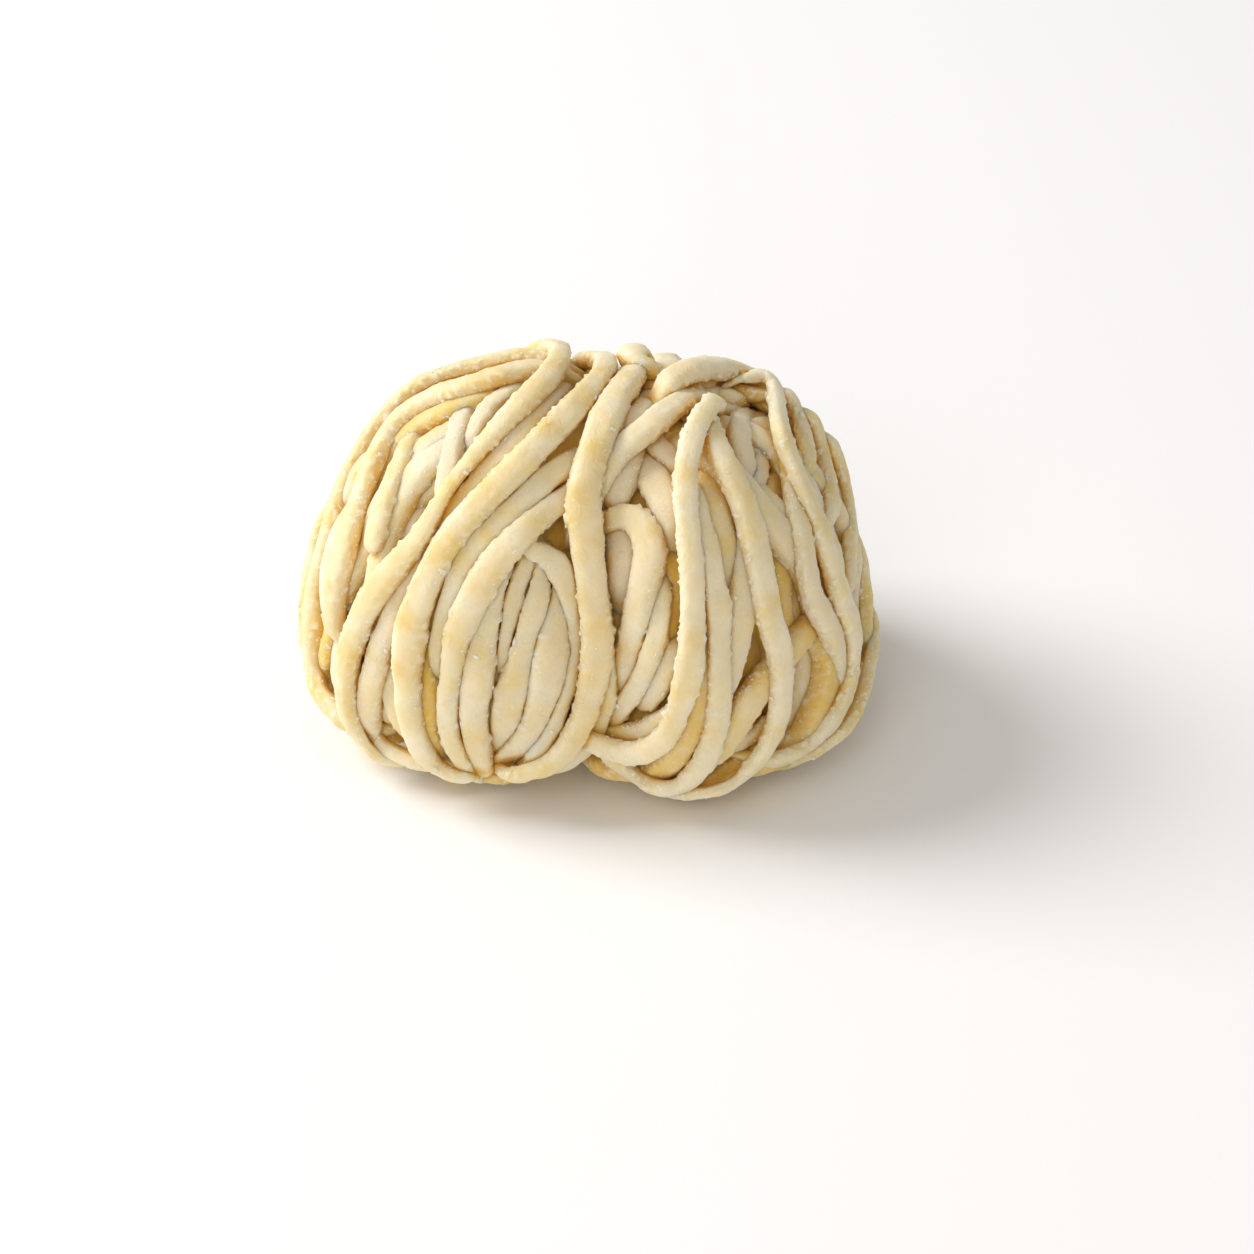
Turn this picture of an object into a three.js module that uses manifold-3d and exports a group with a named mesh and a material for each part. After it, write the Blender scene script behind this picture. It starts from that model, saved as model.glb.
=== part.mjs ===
// Fresh pasta nest: a bundle of thick, soft strands gathered into two plump lobes that meet at a waist.
// Millimetres, +Z up. The origin is the middle of the footprint, on the surface that the nest lies on, and -Y is
// the front. One solid: a smooth core with every strand that shows fused on, cut flat where it lies.
import * as THREE from "three";
import { mergeVertices } from "three/addons/utils/BufferGeometryUtils.js";
import Module from "manifold-3d";

const wasm = await Module();
wasm.setup();

// ---- Driving sizes -------------------------------------------------------------------------------------------
const LEFT_REACH = 39.6; // from the middle to the left end of the skin, where the widest part of the nest is
const RIGHT_REACH = 39.4;
const FRONT_REACH = { left: 31, right: 34 }; // the right lobe stands further forward
const BACK_REACH = 32;
const HEIGHT = { left: 55.2, right: 54.6 };
const WIDEST_AT = 12; // height of the widest part: soft strands sag outwards near the surface they lie on
const WAIST = { across: 2, half: 7, pinch: 0.16, dip: 0.055 }; // where the two lobes meet, and how deep
const CORE_DEPTH = 4.85; // the core's surface under the skin
const CORE_SINKS = 1; // how far the core's underside would reach below the surface, if it weren't cut flat
const CORE_RINGS = 13;
const CORE_SPOKES = 24;
const STRAND_SIDES = 4;
const CORNERS_REACH = 1.15; // against the half width, so that a section of few sides is as full as a rounded one
const STRAND_STEP = 8.1; // length of strand to each facet
const STRAND_FLAT = 0.9; // thickness of a strand against its width
const FINEST = 0.05; // edges shorter than this, left where strands cross, are closed up
const TUCK = 3.5; // how far a strand's end dives under its neighbours
const BACK_FROM = 3.5; // a strand's run behind the crest starts this far back
const BACK_STEP = 11.5; // facets are longer behind, where strands run straighter
// A strand's way down the far side is found step by step. At each it turns by a share towards straight down, with
// a little sway, a little outwards and the more aside the further its foot is, up to a most. It ends by the ground.
const FALL = { step: 1.5, turns: 0.15, asideOver: 14, asideMost: 1.2, sway: 0.25, outwards: 0.6, ground: 4, steps: 70 };
const FELLOW = { nearer: 0.97, sway: 2, wander: 2.5 }; // a strand's fellow behind, against the strand in front
// The strands that cover each end: degrees round it from straight across, and degrees of rise from top to foot.
const ENDS = { swings: [-14, 22], sway: 7, from: 64, to: -8, every: 6, depth: 3.6, width: 4.3 };
const SLOPE_STEP = 0.2;

// ---- The skin: the outer form that the top strands reach --------------------------------------------------
const smoothSide = (x) => 0.5 + 0.5 * Math.tanh(x / 8); // 0 in the left lobe, 1 in the right one
const between = (pair, x) => pair.left + (pair.right - pair.left) * smoothSide(x);
const waistAt = (x) => Math.exp(-(((x - WAIST.across) / WAIST.half) ** 2));

// How far a point lies under the skin, along the line to the middle of the nest. Negative outside.
function depthOf(p) {
  const reachX = p.x < 0 ? LEFT_REACH : RIGHT_REACH;
  const reachY = (p.y < 0 ? between(FRONT_REACH, p.x) : BACK_REACH) * (1 - WAIST.pinch * waistAt(p.x));
  const above = p.z > WIDEST_AT;
  const reachZ = above ? (between(HEIGHT, p.x) - WIDEST_AT) * (1 - WAIST.dip * waistAt(p.x)) : WIDEST_AT;
  const roundness = above ? 1.95 + 0.35 * smoothSide(p.x) : 2.8;
  const plan = ((Math.abs(p.x) / reachX) ** 2.15 + (Math.abs(p.y) / reachY) ** 2.15) ** (1 / 2.15);
  const level = (plan ** roundness + (Math.abs(p.z - WIDEST_AT) / reachZ) ** roundness) ** (1 / roundness);
  const fromMiddle = Math.hypot(p.x, p.y, p.z - WIDEST_AT);
  return level < 1e-6 ? reachZ : fromMiddle * (1 / level - 1);
}

// ---- The strands' layout sheet ----------------------------------------------------------------------------
// The strands are laid out on a flat sheet that stands through the origin and leans back, square to a line of
// sight from in front and above. A point of the sheet is [across, up], and it falls along its line of sight.
const SHEET_TILT = THREE.MathUtils.degToRad(34);
const SHEET_RIGHT = new THREE.Vector3(1, 0, 0);
const SHEET_UP = new THREE.Vector3(0, Math.sin(SHEET_TILT), Math.cos(SHEET_TILT));
const SHEET_OUT = new THREE.Vector3(0, -Math.cos(SHEET_TILT), Math.sin(SHEET_TILT));
const EYE_DISTANCE = 500;
const EYE_ON_SHEET = [5.4, 10.1];
const onSheet = ([across, up]) =>
  new THREE.Vector3().addScaledVector(SHEET_RIGHT, across).addScaledVector(SHEET_UP, up);
const EYE = onSheet(EYE_ON_SHEET).addScaledVector(SHEET_OUT, EYE_DISTANCE);

// The point on the sheet point's line of sight that is first at the depth, or nearest to it past the nest's edge.
function fallTo(point, depth) {
  const sight = onSheet(point).sub(EYE).normalize();
  let best = null;
  let bestDepth = -Infinity;
  for (let far = EYE_DISTANCE - 75; far < EYE_DISTANCE + 75; far += 0.2) {
    const p = EYE.clone().addScaledVector(sight, far);
    const found = depthOf(p);
    if (found > bestDepth) [best, bestDepth] = [p, found];
    if (found >= depth) break;
  }
  return best;
}

// ---- The strands that show from the front -----------------------------------------------------------------
// Each: its depth under the skin, its width and its line from top to foot. A strand that runs on over the crest
// has foot, how far across it reaches the ground behind, and one that has a fellow behind says so.
const STRANDS = [
  // the outer turns of the left lobe, over the shoulder and down its end
  { depth: 1, width: 4.2, foot: 25, line: [[-5.5, 47.3], [-16, 46.2], [-26, 40.4], [-33.5, 30.2], [-37.8, 18.5], [-38.7, 11.5], [-37, 3]] },
  { depth: 0.6, width: 4.4, foot: -17, line: [[-7, 47.1], [-20, 43.5], [-30, 34.8], [-35.2, 24.5], [-37.4, 12.5], [-37.4, 3.5], [-33, -2.2]] },
  { depth: 0.2, width: 4.8, foot: 9, line: [[-6.3, 46.2], [-15, 43.8], [-25, 38.3], [-31.6, 29.5], [-34.8, 19.5], [-35.7, 13]] },
  { depth: 1.6, width: 4.4, behind: true, line: [[-17, 40.9], [-24.5, 36], [-29.8, 28], [-32.2, 18], [-31.3, 13.5]] },
  { depth: 1.8, width: 4, line: [[-22.6, 37.4], [-26.1, 30], [-28, 25], [-29.6, 19.8]] },
  // the long turns that sweep down the front of the left lobe
  { depth: 0, width: 4.7, foot: -27, line: [[-3.4, 48], [-5, 45], [-11.5, 38.8], [-20.2, 27.8], [-28, 16.5], [-33, 6], [-32.8, -2], [-30, -6.5]] },
  { depth: 1, width: 4.2, behind: true, line: [[0, 47], [-6.2, 39.8], [-15.7, 29.4], [-23.2, 18.5], [-28.6, 5], [-29.6, -3.5], [-24, -8]] },
  { depth: 0, width: 4.7, foot: -8, line: [[2.5, 45.6], [-5.2, 36.8], [-14.5, 27], [-22, 16], [-24.9, 4], [-22.6, -6.5], [-18, -11], [-15, -10.6]] },
  { depth: 1, width: 4.2, behind: true, line: [[0, 34.5], [-7.5, 28.6], [-14.5, 22.3], [-19.2, 14], [-21.8, 4]] },
  // the arch of the left lobe and the strands standing in it
  { depth: 0.6, width: 4.7, behind: true, line: [[-1, 28], [-6, 25.2], [-12.8, 18.7], [-17.6, 10], [-19.2, 1], [-17, -8.7]] },
  { depth: 1.8, width: 4.2, line: [[-11.6, 16.5], [-14.3, 9], [-15.8, 1], [-15.6, -4.5], [-14.4, -10]] },
  { depth: 2.6, width: 4.1, line: [[-6.4, 17], [-8.4, 10.5], [-10, 2.5], [-12.2, -5]] },
  { depth: 1.8, width: 4.2, line: [[-4.6, 14.5], [-5.5, 6], [-7.2, -2], [-12.5, -7]] },
  { depth: 1.8, width: 3.8, line: [[-7.8, 20.3], [-3.6, 18.3], [-1.5, 9], [-2.6, 0.5], [-6.5, -7]] },
  // the strand that snakes down between the lobes, and the hump on the crest
  { depth: -0.4, width: 4.9, foot: 17, line: [[5.6, 45.5], [1.6, 37], [-0.7, 27], [0.7, 16], [1.2, 6.5], [-1.2, -3.5], [-5.3, -8.8], [-8.6, -9]] },
  { depth: -0.6, width: 4.4, line: [[2.6, 45], [4, 47.6], [6, 47.4], [8.3, 44]] },
  { depth: 1.2, width: 3.9, line: [[17.5, 43.4], [11.8, 40.6], [6, 35.8], [1.2, 29]] },
  { depth: 1.5, width: 4, line: [[4.2, 26.2], [8, 25.4], [9, 19], [6.9, 10], [3.6, 0]] },
  // the turns that stand in front of the right lobe
  { depth: -0.2, width: 4.1, behind: true, line: [[18.6, 43], [15, 37.5], [13.4, 29], [14.3, 17], [13.8, 4], [11, -5], [6, -7.7], [1.5, -6.3]] },
  { depth: 0.2, width: 4.1, behind: true, line: [[14, 26], [16.8, 17.5], [18.1, 5], [17.2, -5], [13.5, -11.3], [8.5, -12.3], [1, -7.2]] },
  { depth: 0, width: 4.2, behind: true, line: [[15.2, 38.5], [19.8, 30], [23.8, 18], [26.7, 4.5], [26.2, -4], [20.5, -11.2], [13.5, -13]] },
  // the crest of the right lobe and the turns over its end
  { depth: 0, width: 4.2, behind: true, line: [[10.6, 44], [17.5, 46.6], [24.4, 45.2], [26.4, 38.5], [31.9, 25], [35.6, 13], [36.4, 3], [31.5, -5.2], [22.5, -9]] },
  { depth: 1, width: 4, line: [[26.8, 33.5], [28.5, 24], [31.4, 12], [35, 3], [33.5, -2.5]] },
  { depth: 1, width: 3.9, foot: 13, line: [[26.6, 44.6], [29, 38], [30.8, 30]] },
  { depth: 1.2, width: 3.9, foot: 22, line: [[29.2, 41.6], [32.4, 33.5], [32.8, 25]] },
  { depth: 1, width: 4.2, foot: 29, line: [[31, 39.2], [35.2, 31], [36.8, 22], [35.4, 15]] },
  { depth: 0.8, width: 4, foot: 35, line: [[36.6, 24], [38, 17], [38.9, 8], [37.6, -1.5], [31, -7]] },
  { depth: 2.5, width: 4, line: [[31.2, 11.8], [26.5, 5], [21.3, -1], [17, -7.5]] },
  { depth: 3, width: 4, line: [[21.6, 23], [21.2, 12], [18.5, 2.5]] },
];

// ---- From a line on the sheet to a strand in space --------------------------------------------------------
const evenly = (curve, step = STRAND_STEP) =>
  curve.getSpacedPoints(Math.max(3, Math.round(curve.getLength() / step)));

// The run over the front, on the nest and no lower than lying on the surface under it.
function frontRun({ depth, width, line }) {
  const sheetCurve = new THREE.CatmullRomCurve3(line.map(([across, up]) => new THREE.Vector3(across, up, 0)));
  const thick = (width * STRAND_FLAT) / 2;
  return evenly(sheetCurve).map(({ x, y }) => {
    const p = fallTo([x, y], depth + thick);
    p.z = Math.max(p.z, thick);
    return p;
  });
}

// The skin's outward direction beside a point.
function outwards(p) {
  const slope = (axis) => {
    const [above, below] = [p.clone(), p.clone()];
    above[axis] += SLOPE_STEP;
    below[axis] -= SLOPE_STEP;
    return depthOf(below) - depthOf(above);
  };
  return new THREE.Vector3(slope("x"), slope("y"), slope("z")).normalize();
}

function setAtDepth(p, depth) {
  for (let pass = 0; pass < 5; pass += 1) p.addScaledVector(outwards(p), (depthOf(p) - depth) * 0.8);
  return p;
}

// Past its top a strand runs on over the nest, and falls down the far side.
function runDown(front, depth, foot) {
  const run = [front[0].clone()];
  const way = front[0].clone().sub(front[1]).normalize();
  while (run.at(-1).z > FALL.ground && run.length < FALL.steps) {
    const here = run.at(-1);
    const out = outwards(here);
    const aside = THREE.MathUtils.clamp((foot - here.x) / FALL.asideOver, -FALL.asideMost, FALL.asideMost);
    const fall = new THREE.Vector3(aside + FALL.sway * Math.sin(foot + run.length / 7), FALL.outwards, -1);
    way.addScaledVector(fall.projectOnPlane(out).normalize(), FALL.turns).projectOnPlane(out).normalize();
    run.push(setAtDepth(here.clone().addScaledVector(way, FALL.step), depth));
  }
  return evenly(new THREE.CatmullRomCurve3(run), BACK_STEP);
}

// Behind, a strand that stays in front has a fellow that runs much as it does, with a sway of its own.
function fellow(front, depth, index) {
  const sway = FELLOW.sway * Math.sin(2.4 * index);
  const run = front
    .map((p) => {
      const shift = sway * Math.cos(p.z / 14) + FELLOW.wander * Math.sin(p.z / 17 + p.x / 20);
      return new THREE.Vector3(p.x * FELLOW.nearer + shift * THREE.MathUtils.clamp(-p.y / 15, 0, 1), -p.y, p.z);
    })
    .filter((p) => p.y > BACK_FROM);
  return evenly(new THREE.CatmullRomCurve3(run.map((p) => setAtDepth(p, depth))), BACK_STEP);
}

// An end dives under its neighbours, towards the middle of the nest.
function tucked(points) {
  const dive = (end, next) => {
    const onwards = end.clone().sub(next).setLength(TUCK);
    const inwards = new THREE.Vector3(0, 0, WIDEST_AT).sub(end).setLength(TUCK);
    return end.clone().add(onwards).add(inwards);
  };
  const last = points.length - 1;
  const ends = [dive(points[0], points[1]), dive(points[last], points[last - 1])];
  return [ends[0], ...points, ends[1]].map((p) => p.setZ(Math.max(p.z, 2)));
}

// Round each end, strands come down from the crest side by side, with a sway of their own.
function endRuns() {
  const runs = [];
  for (const side of [-1, 1]) {
    ENDS.swings.forEach((swing, k) => {
      const points = [];
      for (let rise = ENDS.from; rise > ENDS.to; rise -= ENDS.every) {
        const up = THREE.MathUtils.degToRad(rise);
        const sway = ENDS.sway * Math.sin(3.1 * up + 3.8 * k + side);
        const turn = THREE.MathUtils.degToRad(swing * (1 - 0.25 * Math.sin(up)) + sway);
        const ray = new THREE.Vector3(side * Math.cos(turn), 0.85 * Math.sin(turn), Math.tan(up)).setLength(LEFT_REACH);
        points.push(setAtDepth(ray.setZ(ray.z + WIDEST_AT), ENDS.depth));
      }
      runs.push({ points, width: ENDS.width, step: BACK_STEP });
    });
  }
  return runs;
}

function runsOf(strand, index) {
  const { width } = strand;
  const points = frontRun(strand);
  const depth = strand.depth + (width * STRAND_FLAT) / 2;
  if (strand.foot) points.unshift(...runDown(points, depth, strand.foot).reverse().slice(0, -1));
  const run = { points, width, step: STRAND_STEP };
  if (!strand.behind) return [run];
  return [run, { points: fellow(points, depth, index), width, step: BACK_STEP }];
}

// ---- Solids -----------------------------------------------------------------------------------------------
function toManifold(geometry) {
  geometry.deleteAttribute("normal");
  geometry.deleteAttribute("uv");
  const merged = mergeVertices(geometry, 1e-3);
  return new wasm.Manifold(
    new wasm.Mesh({
      numProp: 3,
      vertProperties: merged.attributes.position.array,
      triVerts: new Uint32Array(merged.index.array),
    }),
  );
}

function toGeometry(manifold) {
  const { vertProperties, triVerts } = manifold.getMesh();
  return new THREE.BufferGeometry()
    .setAttribute("position", new THREE.BufferAttribute(vertProperties, 3))
    .setIndex(new THREE.BufferAttribute(triVerts, 1));
}

// The core is a ball whose every point is pushed out to its own depth under the skin.
function coreSolid() {
  const middle = new THREE.Vector3(0, 0, WIDEST_AT);
  const ball = new THREE.SphereGeometry(1, CORE_SPOKES, CORE_RINGS).rotateX(Math.PI / 2);
  const at = ball.attributes.position;
  for (let i = 0; i < at.count; i += 1) {
    const outwards = new THREE.Vector3().fromBufferAttribute(at, i).normalize();
    const depthFrom = CORE_DEPTH - (CORE_DEPTH + CORE_SINKS) * Math.max(0, -outwards.z) ** 0.5;
    let [near, far] = [0, 80];
    while (far - near > 0.01) {
      const half = (near + far) / 2;
      if (depthOf(middle.clone().addScaledVector(outwards, half)) > depthFrom) near = half;
      else far = half;
    }
    const p = middle.clone().addScaledVector(outwards, near);
    at.setXYZ(i, p.x, p.y, p.z);
  }
  return toManifold(ball);
}

function strandSolid({ points, width, step }) {
  const section = Array.from({ length: STRAND_SIDES }, (_, side) => {
    const angle = ((side + 0.5) / STRAND_SIDES) * 2 * Math.PI;
    return new THREE.Vector2(Math.cos(angle), Math.sin(angle) * STRAND_FLAT).multiplyScalar((width / 2) * CORNERS_REACH);
  });
  const path = new THREE.CatmullRomCurve3(tucked(points), false, "centripetal");
  const steps = Math.round(path.getLength() / step);
  const options = { steps, extrudePath: path, curveSegments: 1, bevelEnabled: false };
  return toManifold(new THREE.ExtrudeGeometry(new THREE.Shape(section), options));
}

function nestSolid() {
  let nest = coreSolid();
  STRANDS.forEach((strand, index) => {
    for (const run of runsOf(strand, index)) nest = nest.add(strandSolid(run));
  });
  for (const run of endRuns()) nest = nest.add(strandSolid(run));
  const room = toManifold(new THREE.BoxGeometry(200, 200, 100).translate(0, 0, 50));
  const pieces = nest.intersect(room).simplify(FINEST).decompose();
  return pieces.reduce((largest, piece) => (piece.volume() > largest.volume() ? piece : largest));
}

// ---- The part ---------------------------------------------------------------------------------------------
const dough = new THREE.MeshStandardMaterial({ color: "#ecd9a6", roughness: 0.6, metalness: 0 });
const nest = new THREE.Mesh(toGeometry(nestSolid()), dough);
nest.name = "pasta_nest";

const part = new THREE.Group();
part.add(nest);

export default part;
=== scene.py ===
"""A nest of thick fresh pasta: floured strands gathered into two plump lobes that meet at a waist.

The strands are laid over the nest's outer form, or skin, then eased apart until each lies on or beside its
neighbours. Sizes are in millimetres until a mesh is made. +X is right, -Y is the front, +Z is up.
"""

import math
from collections import namedtuple

import bpy
import numpy as np
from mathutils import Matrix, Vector


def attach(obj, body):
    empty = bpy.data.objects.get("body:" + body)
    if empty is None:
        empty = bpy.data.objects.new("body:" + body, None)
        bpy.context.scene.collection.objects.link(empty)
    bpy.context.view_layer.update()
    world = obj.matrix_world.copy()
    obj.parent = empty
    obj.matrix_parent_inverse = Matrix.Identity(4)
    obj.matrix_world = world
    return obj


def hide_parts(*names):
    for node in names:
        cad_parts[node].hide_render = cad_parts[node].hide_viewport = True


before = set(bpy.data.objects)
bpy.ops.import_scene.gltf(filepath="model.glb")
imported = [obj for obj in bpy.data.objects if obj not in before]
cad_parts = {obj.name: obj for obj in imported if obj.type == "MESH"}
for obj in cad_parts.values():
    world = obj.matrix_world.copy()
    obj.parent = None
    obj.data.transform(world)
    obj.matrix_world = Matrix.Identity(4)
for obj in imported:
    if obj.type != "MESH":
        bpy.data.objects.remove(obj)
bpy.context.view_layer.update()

MM = 0.001
SEED = 11

# ---- The skin: the outer form that the top strands reach -------------------------------------------------
LEFT_REACH, RIGHT_REACH = 40.3, 40.0
FRONT_REACH_LEFT, FRONT_REACH_RIGHT, BACK_REACH = 31.0, 34.0, 32.0
HEIGHT_LEFT, HEIGHT_RIGHT = 55.6, 54.4
WIDEST_AT = 12.0  # soft strands sag outwards near the surface that they lie on
LOBES_BLEND = 8.0  # half the stretch over which the left lobe's form turns into the right one's
WAIST_ACROSS, WAIST_HALF, WAIST_PINCH, WAIST_DIP = 2.0, 7.0, 0.16, 0.055
# a power of 2 makes an outline round, and more makes it squarer
PLAN_POWER, LEFT_POWER, RIGHT_POWER_ADDS, FOOT_POWER = 2.15, 1.98, 0.31, 2.8
MIDDLE = np.array([0.0, 0.0, WIDEST_AT])


def unit(v):
    return v / np.maximum(np.linalg.norm(v, axis=-1, keepdims=True), 1e-9)


def skin_depth(p):
    """How far points lie under the skin, along the line to the middle of the nest. Negative outside."""
    x, y, z = p[..., 0], p[..., 1], p[..., 2]
    right = 0.5 + 0.5 * np.tanh(x / LOBES_BLEND)
    waist = np.exp(-(((x - WAIST_ACROSS) / WAIST_HALF) ** 2))
    reach_x = np.where(x < 0, LEFT_REACH, RIGHT_REACH)
    front = FRONT_REACH_LEFT + (FRONT_REACH_RIGHT - FRONT_REACH_LEFT) * right
    reach_y = np.where(y < 0, front, BACK_REACH) * (1 - WAIST_PINCH * waist)
    top = HEIGHT_LEFT + (HEIGHT_RIGHT - HEIGHT_LEFT) * right - WIDEST_AT
    reach_z = np.where(z > WIDEST_AT, top * (1 - WAIST_DIP * waist), WIDEST_AT)
    power = np.where(z > WIDEST_AT, LEFT_POWER + RIGHT_POWER_ADDS * right, FOOT_POWER)
    plan = (np.abs(x / reach_x) ** PLAN_POWER + np.abs(y / reach_y) ** PLAN_POWER) ** (1 / PLAN_POWER)
    level = (plan**power + np.abs((z - WIDEST_AT) / reach_z) ** power) ** (1 / power)
    return np.linalg.norm(p - MIDDLE, axis=-1) * (1 / np.maximum(level, 1e-4) - 1)


def outwards(p):
    """The skin's outward direction beside each point."""
    slope = [skin_depth(p - step) - skin_depth(p + step) for step in 0.2 * np.eye(3)]
    return unit(np.stack(slope, axis=-1))


def set_at_depth(p, depth):
    """Moves points in or out until they lie at the depth under the skin."""
    for _ in range(5):
        p = p + outwards(p) * (skin_depth(p) - depth)[..., None] * 0.8
    return p


def reach_depth(start, ray, wanted, furthest):
    """Where each ray comes out to the depth under the skin that wanted gives for its points."""
    low, high = np.zeros(len(ray)), np.full(len(ray), furthest)
    for _ in range(24):
        half = (low + high) / 2
        p = start + ray * half[:, None]
        inside = skin_depth(p) > wanted(p)
        low, high = np.where(inside, half, low), np.where(inside, high, half)
    return start + ray * low[:, None]


# ---- The layout sheet: it stands through the origin and leans back, square to the view -------------------
SHEET_TILT = math.radians(34)
SHEET_RIGHT = np.array([1.0, 0.0, 0.0])
SHEET_UP = np.array([0.0, math.sin(SHEET_TILT), math.cos(SHEET_TILT)])
SHEET_OUT = np.array([0.0, -math.cos(SHEET_TILT), math.sin(SHEET_TILT)])
EYE_DISTANCE = 500.0
AIM = 5.379 * SHEET_RIGHT + 10.069 * SHEET_UP
EYE = AIM + EYE_DISTANCE * SHEET_OUT
SOUGHT = np.arange(-75, 75, 0.25)  # the stretch of a line of sight on which the nest is met


def fall_to(line, depth):
    """Where each sheet point's line of sight first meets the depth, or passes nearest to it."""
    sight = unit(line[:, :1] * SHEET_RIGHT + line[:, 1:] * SHEET_UP - EYE)
    p = EYE + sight[:, None] * (EYE_DISTANCE + SOUGHT)[None, :, None]
    found = skin_depth(p)
    reached = found >= depth
    first = np.where(reached.any(axis=1), reached.argmax(axis=1), found.argmax(axis=1))
    return p[np.arange(len(p)), first], -sight


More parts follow.
